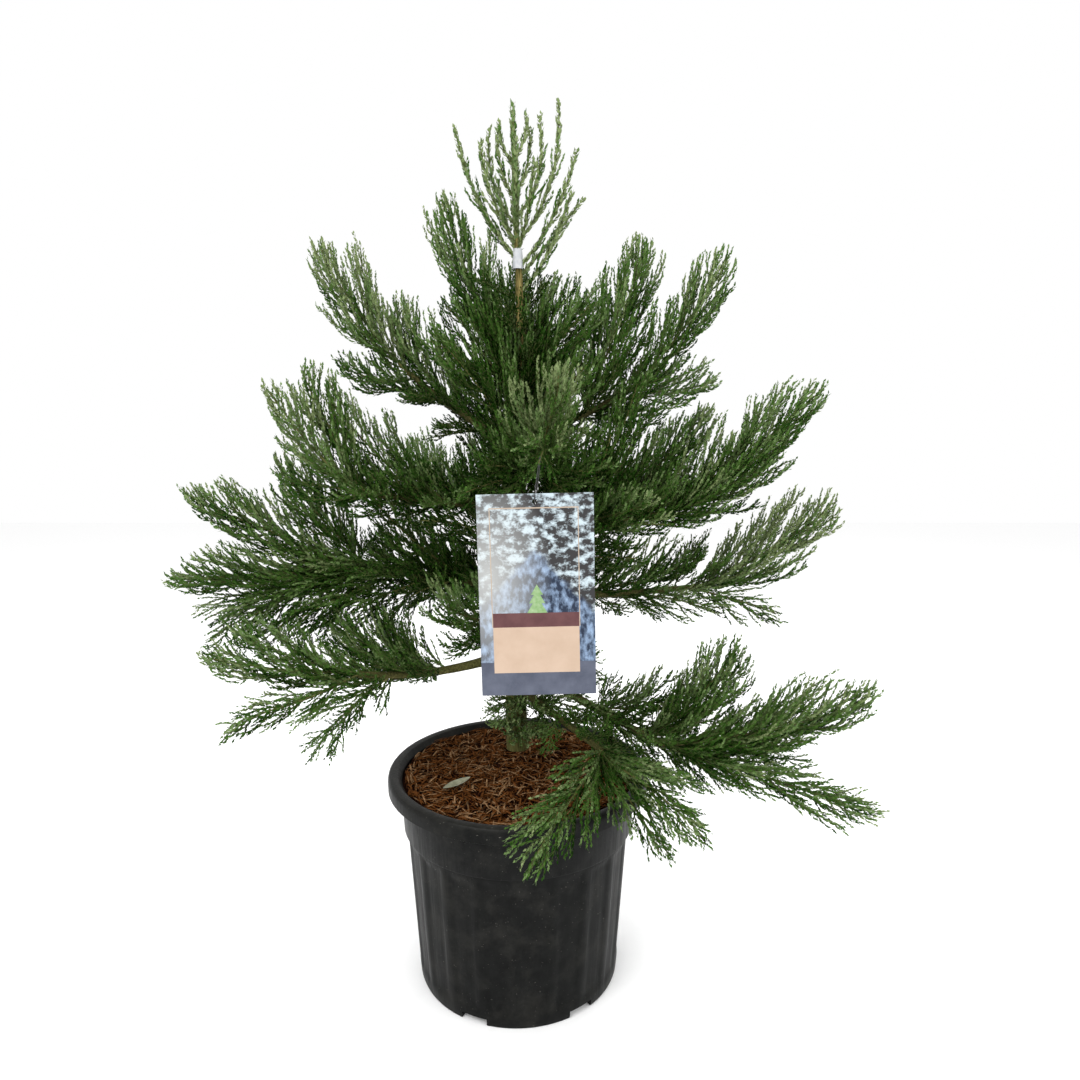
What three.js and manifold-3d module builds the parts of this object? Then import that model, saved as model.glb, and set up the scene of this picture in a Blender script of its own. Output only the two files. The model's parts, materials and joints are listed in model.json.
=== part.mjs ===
// A young giant sequoia in a round nursery pot.
// Millimetres, +Z up. The origin is the centre of the pot's flat underside, +X runs to the side of
// the longest low bough and -Y faces the hang tag.

import * as THREE from 'three';
import { mergeVertices } from 'three/addons/utils/BufferGeometryUtils.js';
import Module from 'manifold-3d';

const wasm = await Module();
wasm.setup();

// ---- Driving dimensions ----

const gap = 0.4; // clearance between neighbouring solids
const sliver = 0.05; // detail smaller than this is smoothed out of a cut solid

const potHeight = 325;
const lipRadius = 200;
const lipDrop = 22; // depth of the rolled lip
const neckRadius = 181; // outside of the plain band under the lip
const shoulderRadius = 172; // outside of the ribbed body under the band
const shoulderHeight = 238;
const footRadius = 156;
const wallThickness = 4;
const floorThickness = 4;
const ribCount = 20;
const ribRelief = 2.2;
const ribFrom = 20;
const ribTo = 232;
const notchCount = 6;
const notchWidth = 40;
const notchHeight = 11;
const notchDepth = 25;
const notchClear = 10; // how far the cutting block stands outside the foot
const notchTurn = -113; // heading of the first notch

const soilEdge = 312;
const soilTop = 324;
const soilFlat = 34; // radius of the level patch round the trunk

const trunkFoot = soilTop + gap;
const trunkTip = 1294.5;
const trunkSides = 10;
// height, sideways lean and radius, from the flare at the soil to the leading tip
const trunkStations = [
  [trunkFoot, 1, 24],
  [334, 1, 19.5],
  [352, 0, 17.8],
  [420, -3, 16.5],
  [700, 2, 12.2],
  [985, 6.6, 7.5],
  [1060, 4, 4.9],
  [1095, 1.2, 3.8],
  [1240, -3, 3.2],
  [1286, -4.6, 3.4],
  [trunkTip, -4.8, 0],
];
const flareReach = 30; // height over which the root flare is uneven
const flareLobes = 4;

const tieFrom = 1070;
const tieTo = 1096;
const tieWall = 1.5;
const tieSpread = 2; // how much wider the sleeve is at its lower end
const tailSize = [3, 0.8, 30];

const tagWidth = 130;
const tagHeight = 230;
const tagThickness = 0.8;
const tagTop = [28, -292, 772]; // middle of the tag's upper edge
const tagTurn = -1.3; // how far it hangs off plumb, in degrees
const tagHole = 6;
const tagHoleDrop = 9;

const boughSides = 6;
const boughSteps = 5;

// Each bough leaves the trunk at a height, runs to a heading (0 is +X, 90 is +Y) with a mean rise,
// and bends upwards by so many degrees from its foot to its end. foot and end are its radii.
const boughs = [
  { name: 'bough_upper_left', height: 815, heading: 174, rise: 34, length: 205, bend: 12, foot: 7.5, end: 4 },
  { name: 'bough_upper_right', height: 835, heading: -3, rise: 22, length: 175, bend: 20, foot: 7.5, end: 4 },
  { name: 'bough_upper_back', height: 795, heading: 82, rise: 30, length: 170, bend: 16, foot: 7.5, end: 4 },
  { name: 'bough_front', height: 775, heading: -77, rise: 13, length: 150, bend: 14, foot: 7, end: 4 },
  { name: 'bough_mid_left', height: 735, heading: -159, rise: 6, length: 240, bend: 14, foot: 8, end: 4 },
  { name: 'bough_mid_right', height: 700, heading: -8, rise: 6, length: 215, bend: 14, foot: 8, end: 4 },
  { name: 'bough_back_left', height: 675, heading: 118, rise: 10, length: 220, bend: 14, foot: 8, end: 4 },
  { name: 'bough_back_right', height: 640, heading: 58, rise: 8, length: 230, bend: 12, foot: 8, end: 4 },
  { name: 'bough_left', height: 610, heading: -176, rise: 9, length: 245, bend: 10, foot: 8, end: 4 },
  { name: 'bough_right', height: 595, heading: 4, rise: 2, length: 280, bend: 8, foot: 8, end: 4 },
  { name: 'bough_low_front_left', height: 560, heading: -104, rise: 8, length: 120, bend: 10, foot: 7, end: 4 },
  { name: 'bough_low_back', height: 525, heading: 96, rise: 1, length: 230, bend: 14, foot: 8, end: 4.5 },
  { name: 'bough_low_left', height: 510, heading: -145, rise: 2, length: 260, bend: 26, foot: 8, end: 4.5 },
  { name: 'bough_low_right', height: 495, heading: -31, rise: -19, length: 265, bend: 10, foot: 8, end: 4.5 },
  { name: 'bough_low_front', height: 450, heading: -53, rise: -10, length: 205, bend: -6, foot: 7, end: 4 },
];

const massSides = 8;
const massRings = 6;

// Each mass of foliage grows from a bough, part of the way along it, or straight from the trunk at
// a height. wide is its half width across its run and tall is its half depth.
const masses = [
  { name: 'leader_left', height: 1098, heading: -172, rise: 64, length: 172, bend: 24, wide: 30, tall: 38 },
  { name: 'leader_right', height: 1098, heading: 8, rise: 72, length: 200, bend: 26, wide: 28, tall: 38 },
  { name: 'upper_left', bough: 'bough_upper_left', at: 1, heading: -177, rise: 57, length: 218, bend: 22,
    wide: 54, tall: 56 },
  { name: 'upper_right_outer', bough: 'bough_upper_right', at: 1, heading: -1, rise: 55, length: 235, bend: 20,
    wide: 52, tall: 42 },
  { name: 'shoulder_left', height: 900, heading: 176, rise: 67, length: 300, bend: 14, wide: 50, tall: 48 },
  { name: 'upper_right', bough: 'bough_upper_right', at: 0.5, heading: 15, rise: 69, length: 280, bend: 20,
    wide: 58, tall: 56 },
  { name: 'shoulder_back', height: 880, heading: 95, rise: 62, length: 250, bend: 20, wide: 60, tall: 50 },
  { name: 'back_crown', bough: 'bough_upper_back', at: 1, heading: 80, rise: 46, length: 220, bend: 24,
    wide: 70, tall: 50 },
  { name: 'front_crown', bough: 'bough_front', at: 0.8, heading: -78, rise: 42, length: 170, bend: 34,
    wide: 54, tall: 48 },
  { name: 'upper_left_inner', bough: 'bough_upper_left', at: 0.4, heading: 169, rise: 58, length: 212, bend: 20,
    wide: 56, tall: 48 },
  { name: 'upper_left_low', bough: 'bough_upper_left', at: 0.62, heading: 160, rise: 18, length: 205, bend: 8,
    wide: 44, tall: 36 },
  { name: 'right_shelf', bough: 'bough_upper_right', at: 0.55, heading: 17, rise: 14, length: 232, bend: 14,
    wide: 54, tall: 52 },
  { name: 'mid_right_outer', bough: 'bough_mid_right', at: 1, heading: -9, rise: 40, length: 282, bend: 16,
    wide: 58, tall: 52 },
  { name: 'mid_right_inner', bough: 'bough_mid_right', at: 0.5, heading: 11, rise: 42, length: 255, bend: 18,
    wide: 56, tall: 50 },
  { name: 'right_front', bough: 'bough_mid_right', at: 0.25, heading: -53, rise: 14, length: 205, bend: 10,
    wide: 46, tall: 30 },
  { name: 'mid_left_outer', bough: 'bough_mid_left', at: 1, heading: -161, rise: 52, length: 178, bend: 16,
    wide: 46, tall: 36 },
  { name: 'mid_left_tall', bough: 'bough_mid_left', at: 0.95, heading: 172, rise: 67, length: 188, bend: 24,
    wide: 46, tall: 36 },
  { name: 'mid_left_inner', bough: 'bough_mid_left', at: 0.5, heading: 150, rise: 54, length: 155, bend: 24,
    wide: 56, tall: 46 },
  { name: 'left_tall', bough: 'bough_left', at: 0.9, heading: 174, rise: 49, length: 212, bend: 20,
    wide: 56, tall: 42 },
  { name: 'left_top', bough: 'bough_left', at: 1, heading: -176, rise: 24, length: 265, bend: 22,
    wide: 60, tall: 52 },
  { name: 'left_fan', bough: 'bough_left', at: 0.95, heading: -170, rise: -4, length: 278, bend: 14,
    wide: 66, tall: 54 },
  { name: 'left_core', bough: 'bough_left', at: 0.2, heading: 158, rise: 14, length: 215, bend: 10,
    wide: 76, tall: 62 },
  { name: 'left_lower', bough: 'bough_low_left', at: 0.5, heading: 175, rise: 24, length: 180, bend: 16,
    wide: 66, tall: 46 },
  { name: 'right_core', bough: 'bough_mid_right', at: 0.12, heading: 24, rise: 38, length: 170, bend: 16,
    wide: 60, tall: 52 },
  { name: 'right_outer', bough: 'bough_right', at: 1, heading: -5, rise: 35, length: 240, bend: 24,
    wide: 60, tall: 62 },
  { name: 'right_inner', bough: 'bough_right', at: 0.18, heading: 12, rise: 15, length: 262, bend: 14,
    wide: 56, tall: 40 },
  { name: 'back_left_fan', bough: 'bough_back_left', at: 1, heading: 124, rise: 26, length: 250, bend: 22,
    wide: 80, tall: 52 },
  { name: 'back_left_inner', bough: 'bough_back_left', at: 0.45, heading: 98, rise: 50, length: 205, bend: 22,
    wide: 66, tall: 54 },
  { name: 'back_right_fan', bough: 'bough_back_right', at: 1, heading: 48, rise: 24, length: 260, bend: 22,
    wide: 80, tall: 50 },
  { name: 'back_right_inner', bough: 'bough_back_right', at: 0.4, heading: 78, rise: 36, length: 225, bend: 20,
    wide: 66, tall: 50 },
  { name: 'low_back_fan', bough: 'bough_low_back', at: 1, heading: 102, rise: 12, length: 270, bend: 24,
    wide: 84, tall: 50 },
  { name: 'front_skirt', bough: 'bough_low_front_left', at: 0.7, heading: -112, rise: 24, length: 175, bend: 26,
    wide: 64, tall: 52 },
  { name: 'low_left_fan', bough: 'bough_low_left', at: 0.85, heading: -166, rise: 11, length: 235, bend: 14,
    wide: 60, tall: 42 },
  { name: 'low_left_droop', bough: 'bough_low_left', at: 1, heading: -154, rise: -20, length: 180, bend: -12,
    wide: 44, tall: 26 },
  { name: 'low_right_inner', bough: 'bough_low_right', at: 0.5, heading: -2, rise: 6, length: 165, bend: 18,
    wide: 46, tall: 38 },
  { name: 'low_right_tall', bough: 'bough_low_right', at: 0.88, heading: 5, rise: 47, length: 185, bend: 40,
    wide: 54, tall: 44 },
  { name: 'low_right_outer', bough: 'bough_low_right', at: 1, heading: -3, rise: 17, length: 292, bend: 24,
    wide: 64, tall: 48 },
  { name: 'low_right_under', bough: 'bough_low_right', at: 1, heading: -12, rise: -14, length: 292, bend: 6,
    wide: 50, tall: 28 },
  { name: 'low_front_left', bough: 'bough_low_front', at: 1, heading: -128, rise: -32, length: 192, bend: -22,
    wide: 54, tall: 40 },
  { name: 'low_front_right', bough: 'bough_low_front', at: 0.95, heading: -36, rise: -28, length: 182, bend: -18,
    wide: 56, tall: 42 },
];

// ---- Finishes ----

function finish(color, roughness, metalness = 0) {
  return new THREE.MeshStandardMaterial({ color, roughness, metalness });
}

const blackPlastic = () => finish(0x232426, 0.5);
const barkMulch = () => finish(0x4a2917, 0.95);
const greyBark = () => finish(0x5b5238, 0.85);
const youngBark = () => finish(0x66592f, 0.8);
const freshNeedles = () => finish(0x3f6b35, 0.75);
const whitePlastic = () => finish(0xe8ecee, 0.4);
const printedCard = () => finish(0x5b6a86, 0.3);

// ---- Solids from geometry and back ----

function solidOf(geometry) {
  const bare = geometry.clone();
  bare.deleteAttribute('normal');
  bare.deleteAttribute('uv');
  const merged = mergeVertices(bare, 1e-4);
  const vertProperties = new Float32Array(merged.attributes.position.array);
  const triVerts = new Uint32Array(merged.index.array);
  return new wasm.Manifold(new wasm.Mesh({ numProp: 3, vertProperties, triVerts }));
}

function geometryOf(solid) {
  const mesh = solid.getMesh();
  const geometry = new THREE.BufferGeometry();
  geometry.setAttribute('position', new THREE.BufferAttribute(mesh.vertProperties, 3));
  geometry.setIndex(new THREE.BufferAttribute(mesh.triVerts, 1));
  geometry.computeVertexNormals();
  return geometry;
}

// The largest body left after a cut; slivers beside it are dropped.
function largestBody(solid) {
  const bodies = solid.decompose();
  const largest = bodies.reduce((best, body) => (body.volume() > best.volume() ? body : best));
  return largest.simplify(sliver);
}

// Moves every vertex of a geometry to the point that place(vertex, its number) gives.
function reshape(geometry, place) {
  const positions = geometry.attributes.position;
  for (let i = 0; i < positions.count; i += 1) {
    const moved = place(new THREE.Vector3().fromBufferAttribute(positions, i), i);
    positions.setXYZ(i, moved.x, moved.y, moved.z);
  }
  return geometry;
}

// ---- Directions and paths ----

const radians = THREE.MathUtils.degToRad;
const up = new THREE.Vector3(0, 0, 1);

function direction(heading, rise) {
  const flat = Math.cos(radians(rise));
  return new THREE.Vector3(
    Math.cos(radians(heading)) * flat,
    Math.sin(radians(heading)) * flat,
    Math.sin(radians(rise)),
  );
}

// An even bend from a point to the end of its run, in one upright plane.
function growthPath(start, { heading, rise, length, bend }) {
  const elbow = start.clone().addScaledVector(direction(heading, rise - bend / 2), length / 2);
  const end = start.clone().addScaledVector(direction(heading, rise), length);
  return new THREE.QuadraticBezierCurve3(start, elbow, end);
}

// A point beside a path: across it on the level, and over it in its upright plane.
function besidePath(path, heading, t, beyond, across, over) {
  const along = path.getTangent(t);
  const side = direction(heading + 90, 0);
  const above = new THREE.Vector3().crossVectors(along, side);
  return path.getPoint(t)
    .addScaledVector(along, beyond)
    .addScaledVector(side, across)
    .addScaledVector(above, over);
}

function trunkAt(asked) {
  const height = THREE.MathUtils.clamp(asked, trunkFoot, trunkTip);
  const next = trunkStations.findIndex((station) => station[0] >= height);
  const upper = trunkStations[Math.max(next, 1)];
  const lower = trunkStations[Math.max(next, 1) - 1];
  const share = (height - lower[0]) / (upper[0] - lower[0]);
  return {
    centre: new THREE.Vector3(THREE.MathUtils.lerp(lower[1], upper[1], share), 0, height),
    radius: THREE.MathUtils.lerp(lower[2], upper[2], share),
  };
}

// ---- Trunk, boughs and masses ----

// A turned shape stood up along the trunk's own lean.
function stoodOnTrunk(turned) {
  return reshape(turned, ({ x, y, z }) => new THREE.Vector3(x + trunkAt(y).centre.x, -z, y));
}

function trunkSolid(spare) {
  const profile = trunkStations.map(([height, , radius]) => {
    const tip = radius === 0 ? spare : 0;
    return new THREE.Vector2(radius === 0 ? 0 : radius + spare, height + tip);
  });
  profile.unshift(new THREE.Vector2(0, trunkFoot - spare));
  profile[1].y = trunkFoot - spare;
  const turned = new THREE.LatheGeometry(profile, trunkSides);
  const flared = reshape(turned, ({ x, y, z }) => {
    const flare = Math.max(0, 1 - (y - trunkFoot) / flareReach);
    const swell = 1 + 0.1 * flare * Math.sin(flareLobes * Math.atan2(z, x));
    return new THREE.Vector3(x * swell, y, z * swell);
  });
  return solidOf(stoodOnTrunk(flared));
}

function boughSolid(bough, spare) {
  const path = growthPath(trunkAt(bough.height).centre, bough);
  const rod = new THREE.CylinderGeometry(1, 1, 1, boughSides, boughSteps);
  const grown = reshape(rod, ({ x, y, z }) => {
    const t = 0.5 - y;
    const radius = THREE.MathUtils.lerp(bough.foot, bough.end, t) + spare;
    const beyond = t >= 1 ? spare : 0;
    return besidePath(path, bough.heading, t, beyond, x * radius, z * radius);
  });
  return solidOf(grown);
}

// Half width of a plume along its run: a thin start, its fullest past the middle, a blunt end.
function girth(t) {
  return Math.sin(Math.PI * t) ** 0.6 * (0.52 + 0.85 * t);
}

function massPath(mass) {
  const parent = boughs.find((bough) => bough.name === mass.bough);
  const start = parent
    ? growthPath(trunkAt(parent.height).centre, parent).getPoint(mass.at)
    : trunkAt(mass.height).centre;
  return growthPath(start, mass);
}

function massSolid(mass, index, spare) {
  const path = massPath(mass);
  const ball = new THREE.SphereGeometry(1, massSides, massRings);
  const grown = reshape(ball, ({ x, y, z }) => {
    const t = Math.acos(THREE.MathUtils.clamp(y, -1, 1)) / Math.PI;
    const ring = Math.max(Math.hypot(x, z), 1e-9);
    const angle = Math.atan2(z, x);
    const lobes = 1
      + 0.15 * Math.sin(3 * angle + 1.7 * index + 5 * t)
      + 0.11 * Math.sin(2 * angle - 2.3 * index + 11 * t);
    const open = ring < 1e-6 ? 0 : 1;
    const across = open * (mass.wide * girth(t) * lobes + spare) * (x / ring);
    const over = open * (mass.tall * girth(t) * lobes + spare) * (z / ring);
    return besidePath(path, mass.heading, t, spare * (2 * t - 1), across, over);
  });
  return solidOf(grown);
}

// ---- Pot and soil ----

// Three edges to each rib: its crest and the two sides of the hollow beside it.
function ribAngle(step) {
  const pitch = 360 / ribCount;
  const within = [0, 0.2, 0.8][step % 3];
  return radians((Math.floor(step / 3) + within) * pitch);
}

function potSolid() {
  const innerFoot = footRadius - wallThickness;
  const innerShoulder = shoulderRadius - wallThickness;
  const innerNeck = neckRadius - wallThickness;
  const profile = [
    [0, 0],
    [footRadius, 0],
    [footRadius + 2, ribFrom],
    [shoulderRadius, ribTo],
    [shoulderRadius, shoulderHeight],
    [neckRadius - 4, shoulderHeight + 2],
    [neckRadius, potHeight - lipDrop],
    [lipRadius, potHeight - lipDrop],
    [lipRadius, potHeight - 5],
    [lipRadius - 5, potHeight],
    [lipRadius - 14, potHeight],
    [innerNeck, potHeight - lipDrop],
    [innerShoulder, shoulderHeight],
    [innerFoot, floorThickness],
    [0, floorThickness],
  ].map(([radius, height]) => new THREE.Vector2(radius, height));
  const ribRows = [2, 3];
  const steps = 3 * ribCount;
  const ribbed = reshape(new THREE.LatheGeometry(profile, steps), ({ x, y, z }, number) => {
    const row = number % profile.length;
    const step = Math.floor(number / profile.length) % steps;
    const hollow = ribRows.includes(row) && step % 3 !== 0;
    const radius = Math.hypot(x, z) - (hollow ? ribRelief : 0);
    const angle = ribAngle(step);
    return new THREE.Vector3(radius * Math.cos(angle), radius * Math.sin(angle), y);
  });
  let pot = solidOf(ribbed);
  for (let i = 0; i < notchCount; i += 1) {
    const turn = radians(notchTurn + (i * 360) / notchCount);
    const block = new THREE.BoxGeometry(notchDepth + notchClear, notchWidth, notchHeight * 2);
    block.translate(footRadius + (notchClear - notchDepth) / 2, 0, 0);
    block.rotateZ(turn);
    pot = pot.subtract(solidOf(block));
  }
  return pot;
}

function soilSolid() {
  const clear = 1.2;
  const profile = [
    [0, floorThickness + gap],
    [footRadius - wallThickness - clear, floorThickness + gap],
    [shoulderRadius - wallThickness - clear, shoulderHeight],
    [neckRadius - wallThickness - clear, potHeight - lipDrop],
    [neckRadius - wallThickness - clear + 2, soilEdge],
    [120, soilEdge + 7],
    [soilFlat, soilTop],
    [0, soilTop],
  ].map(([radius, height]) => new THREE.Vector2(radius, height));
  const turned = new THREE.LatheGeometry(profile, 24);
  return solidOf(turned.rotateX(Math.PI / 2));
}

// ---- Tie and tag ----

function tieSolid(spare) {
  const inside = trunkAt(tieFrom).radius + gap - spare;
  const narrow = inside + tieWall + 2 * spare;
  const sleeve = [
    [inside, tieFrom - spare],
    [narrow + tieSpread, tieFrom - spare],
    [narrow, tieTo + spare],
    [inside, tieTo + spare],
    [inside, tieFrom - spare],
  ].map(([radius, height]) => new THREE.Vector2(radius, height));
  const centre = trunkAt((tieFrom + tieTo) / 2).centre;
  const ring = stoodOnTrunk(new THREE.LatheGeometry(sleeve, trunkSides));
  const [across, deep, long] = tailSize.map((size) => size + 2 * spare);
  const tail = new THREE.BoxGeometry(across, deep, long);
  tail.translate(centre.x + narrow + tieSpread / 2 + across / 2 - 1, 0, (tieFrom + tieTo) / 2);
  return solidOf(ring).add(solidOf(tail));
}

function tagSolid(spare) {
  const outline = new THREE.Shape();
  const half = tagWidth / 2 + spare;
  outline.moveTo(-half, -tagHeight - spare);
  outline.lineTo(half, -tagHeight - spare);
  outline.lineTo(half, spare);
  outline.lineTo(-half, spare);
  outline.closePath();
  if (spare === 0) {
    const hole = new THREE.Path();
    hole.absarc(0, -tagHoleDrop, tagHole / 2, 0, 2 * Math.PI, true);
    outline.holes.push(hole);
  }
  const depth = tagThickness + 2 * spare;
  const plate = new THREE.ExtrudeGeometry(outline, { depth, bevelEnabled: false, curveSegments: 5 });
  plate.translate(0, 0, -spare);
  plate.rotateX(Math.PI / 2);
  plate.rotateY(radians(tagTurn));
  plate.translate(...tagTop);
  return solidOf(plate);
}

// ---- Assembly ----

const tree = new THREE.Group();

function place(name, solid, material) {
  const mesh = new THREE.Mesh(geometryOf(solid), material);
  mesh.name = name;
  tree.add(mesh);
}

const pot = potSolid();
const soil = soilSolid();
place('pot', pot, blackPlastic());
place('soil', soil, barkMulch());
place('trunk', trunkSolid(0), greyBark());
place('leader_tie', tieSolid(0), whitePlastic());
place('hang_tag', tagSolid(0), printedCard());

let taken = trunkSolid(gap);
for (const bough of boughs) {
  place(bough.name, largestBody(boughSolid(bough, 0).subtract(taken)), youngBark());
  taken = taken.add(boughSolid(bough, gap));
}

taken = taken.add(tieSolid(gap)).add(tagSolid(gap)).add(pot).add(soil);
masses.forEach((mass, index) => {
  place(mass.name, largestBody(massSolid(mass, index, 0).subtract(taken)), freshNeedles());
  taken = taken.add(massSolid(mass, index, gap));
});

export default tree;
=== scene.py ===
# %% [markdown]
# # A young giant sequoia in a nursery pot
# This lesson dresses a finished CAD frame: a pot, its growing medium, a trunk with fifteen boughs and
# forty plain solids that hold the places of the foliage. The frame is never moved. Each plain solid is
# read for its size and shape, and a living surface is grown in its place.

# %% Load the fixed frame
import json
import math
import random
from collections import namedtuple

import bmesh
import bpy
import numpy as np
from mathutils import Matrix, Vector, noise
from mathutils.bvhtree import BVHTree

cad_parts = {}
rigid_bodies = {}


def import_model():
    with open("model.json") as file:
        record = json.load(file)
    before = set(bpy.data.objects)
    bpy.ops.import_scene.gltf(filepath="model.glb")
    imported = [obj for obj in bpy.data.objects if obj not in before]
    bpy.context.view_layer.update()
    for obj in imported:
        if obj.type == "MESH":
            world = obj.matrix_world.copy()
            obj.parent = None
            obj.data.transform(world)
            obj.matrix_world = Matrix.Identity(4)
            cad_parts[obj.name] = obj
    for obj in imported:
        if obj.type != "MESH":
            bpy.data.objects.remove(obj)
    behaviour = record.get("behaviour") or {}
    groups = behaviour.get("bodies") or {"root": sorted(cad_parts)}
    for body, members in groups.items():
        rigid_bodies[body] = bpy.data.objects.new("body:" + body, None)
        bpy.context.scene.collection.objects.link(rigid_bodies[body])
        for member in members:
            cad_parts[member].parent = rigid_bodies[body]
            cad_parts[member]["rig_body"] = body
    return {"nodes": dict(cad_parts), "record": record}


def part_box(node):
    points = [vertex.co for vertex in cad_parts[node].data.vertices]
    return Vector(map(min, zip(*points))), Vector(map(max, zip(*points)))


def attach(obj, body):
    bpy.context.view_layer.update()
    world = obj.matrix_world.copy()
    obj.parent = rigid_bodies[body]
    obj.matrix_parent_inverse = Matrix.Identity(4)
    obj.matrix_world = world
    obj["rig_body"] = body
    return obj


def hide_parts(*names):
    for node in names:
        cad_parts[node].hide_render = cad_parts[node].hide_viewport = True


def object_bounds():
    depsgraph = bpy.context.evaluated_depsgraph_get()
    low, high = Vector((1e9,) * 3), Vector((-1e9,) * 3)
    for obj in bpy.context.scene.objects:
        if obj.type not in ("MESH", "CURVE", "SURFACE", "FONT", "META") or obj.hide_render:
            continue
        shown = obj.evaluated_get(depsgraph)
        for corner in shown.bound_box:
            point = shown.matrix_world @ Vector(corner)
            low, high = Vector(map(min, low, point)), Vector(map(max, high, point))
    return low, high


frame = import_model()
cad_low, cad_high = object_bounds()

MM = 0.001
print("frame nodes:", len(frame["nodes"]), "box", tuple(cad_low), tuple(cad_high))

# %% [markdown]
# ## Sorting the frame's nodes
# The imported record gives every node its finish. The slots are enough to tell boughs from foliage, so
# no list of names has to be typed, and a change in the frame carries through by itself.

# %% Nodes by finish
slot_of = {part["node"]: part["material_slot"] for part in frame["record"]["subparts"]}
bough_nodes = [name for name, slot in slot_of.items() if slot == "bough_bark"]
foliage_nodes = [name for name, slot in slot_of.items() if slot == "foliage"]
print(len(bough_nodes), "boughs and", len(foliage_nodes), "foliage solids")

# %% [markdown]
# ## Camera, floor and light
# A wide lens close to the plant gives a strong perspective: the pot's mouth shows as an ellipse and its
# foot draws in. The floor is a plain pale sheet, and the light is three large soft panels with a bright
# even surround, so that no shadow has a hard edge.

# %% Camera
camera_data = bpy.data.cameras.new("camera")
camera_data.sensor_width = 36.0
camera_data.lens = 25.4
camera = bpy.data.objects.new("camera", camera_data)
camera_pitch_down = 8
camera.location = (0.034, -1.13, 0.838)
camera.rotation_euler = (math.radians(90 - camera_pitch_down), 0, 0)
bpy.context.scene.collection.objects.link(camera)
bpy.context.scene.camera = camera
bpy.context.scene.view_settings.view_transform = "Standard"
print("camera at", tuple(camera.location))

# %% Soft studio light
def light_panel(name, place, aim, size, power, tint=(1, 1, 1)):
    """A square area light of a given size, turned to face a point."""
    lamp = bpy.data.lights.new(name, "AREA")
    lamp.shape = "SQUARE"
    lamp.size = size
    lamp.energy = power
    lamp.color = tint
    panel = bpy.data.objects.new(name, lamp)
    panel.location = place
    panel.rotation_euler = (Vector(aim) - Vector(place)).to_track_quat("-Z", "Y").to_euler()
    bpy.context.scene.collection.objects.link(panel)
    return panel


crown_middle = (0, 0, 0.75)
light_panel("key_panel", (-1.3, -1.9, 2.6), crown_middle, 1.6, 60)
light_panel("fill_panel", (1.9, -1.5, 1.4), crown_middle, 1.8, 30)
light_panel("top_panel", (0.2, 0.6, 3.0), crown_middle, 2.0, 45)
world = bpy.data.worlds.new("pale_room")
world.use_nodes = True
world.node_tree.nodes["Background"].inputs["Color"].default_value = (1, 1, 1, 1)
world.node_tree.nodes["Background"].inputs["Strength"].default_value = 1.0
bpy.context.scene.world = world

# %% [markdown]
# ## Working by hand, in code
# Operators act on whatever is selected, and the loaded frame arrives selected. Every piece therefore
# starts by clearing the selection. The helpers below do only that, pick vertices by their place, and
# hand a finished piece over to the frame.

# %% Selection helpers
def clear_selection():
    """Leave edit mode and deselect everything."""
    if bpy.context.object and bpy.context.object.mode != "OBJECT":
        bpy.ops.object.mode_set(mode="OBJECT")
    bpy.ops.object.select_all(action="DESELECT")


def select_only(*objects):
    """Select these objects and make the first one active."""
    clear_selection()
    for piece in objects:
        piece.select_set(True)
    bpy.context.view_layer.objects.active = objects[0]


def pick_vertices(piece, test):
    """In object mode, select just the vertices whose place passes a test."""
    for part in (piece.data.vertices, piece.data.edges, piece.data.polygons):
        part.foreach_set("select", [False] * len(part))
    chosen = [vertex for vertex in piece.data.vertices if test(vertex.co)]
    for vertex in chosen:
        vertex.select = True
    return len(chosen)


def edit(piece, mode="VERT"):
    """Enter edit mode on one piece."""
    select_only(piece)
    bpy.ops.object.mode_set(mode="EDIT")
    bpy.ops.mesh.select_mode(type=mode)


def edit_all(piece, mode="VERT"):
    """Enter edit mode on one piece with everything in it selected."""
    edit(piece, mode)
    bpy.ops.mesh.select_all(action="SELECT")


def apply_modifiers(piece):
    """Make every modifier part of the mesh."""
    select_only(piece)
    for modifier in list(piece.modifiers):
        bpy.ops.object.modifier_apply(modifier=modifier.name)


def face_outwards(piece):
    """Merge doubles and turn all faces to the outside."""
    edit_all(piece)
    bpy.ops.mesh.remove_doubles(threshold=0.00001)
    bpy.ops.mesh.normals_make_consistent(inside=False)
    clear_selection()


def settle(piece):
    """Put a piece's place into its mesh, so that its object sits at the origin, unturned."""
    select_only(piece)
    bpy.ops.object.transform_apply(location=True, rotation=True, scale=True)
    clear_selection()


def named(name):
    """The piece just added, with its name."""
    piece = bpy.context.object
    piece.name = name
    return piece


def thicken(piece, thickness, offset):
    """Give a sheet its thickness."""
    skin = piece.modifiers.new("thickness", "SOLIDIFY")
    skin.thickness = thickness
    skin.offset = offset
    apply_modifiers(piece)


def cut_away(piece, cutter):
    """Cut one piece's shape out of another and remove the cutter."""
    cut = piece.modifiers.new("cut", "BOOLEAN")
    cut.operation = "DIFFERENCE"
    cut.object = cutter
    apply_modifiers(piece)
    bpy.data.objects.remove(cutter)


def smooth_below(piece, degrees):
    """Shade a piece smooth wherever its faces meet at less than an angle."""
    select_only(piece)
    bpy.ops.object.shade_smooth_by_angle(angle=math.radians(degrees))


def hand_over(piece, slot, material, *stands_for):
    """Give a piece its finish, let it ride on the one body and hide the solids it stands for."""
    piece.data.materials.clear()
    for one in material if isinstance(material, (list, tuple)) else [material]:
        piece.data.materials.append(one)
    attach(piece, "root")
    if stands_for:
        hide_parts(*stands_for)
    print(piece.name, "has", len(piece.data.polygons), "faces")
    return piece


# %% Floor
clear_selection()
bpy.ops.mesh.primitive_plane_add(size=12, location=(0, 0, -0.0005))
floor = named("floor")
settle(floor)
print("floor", floor.name)

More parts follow.
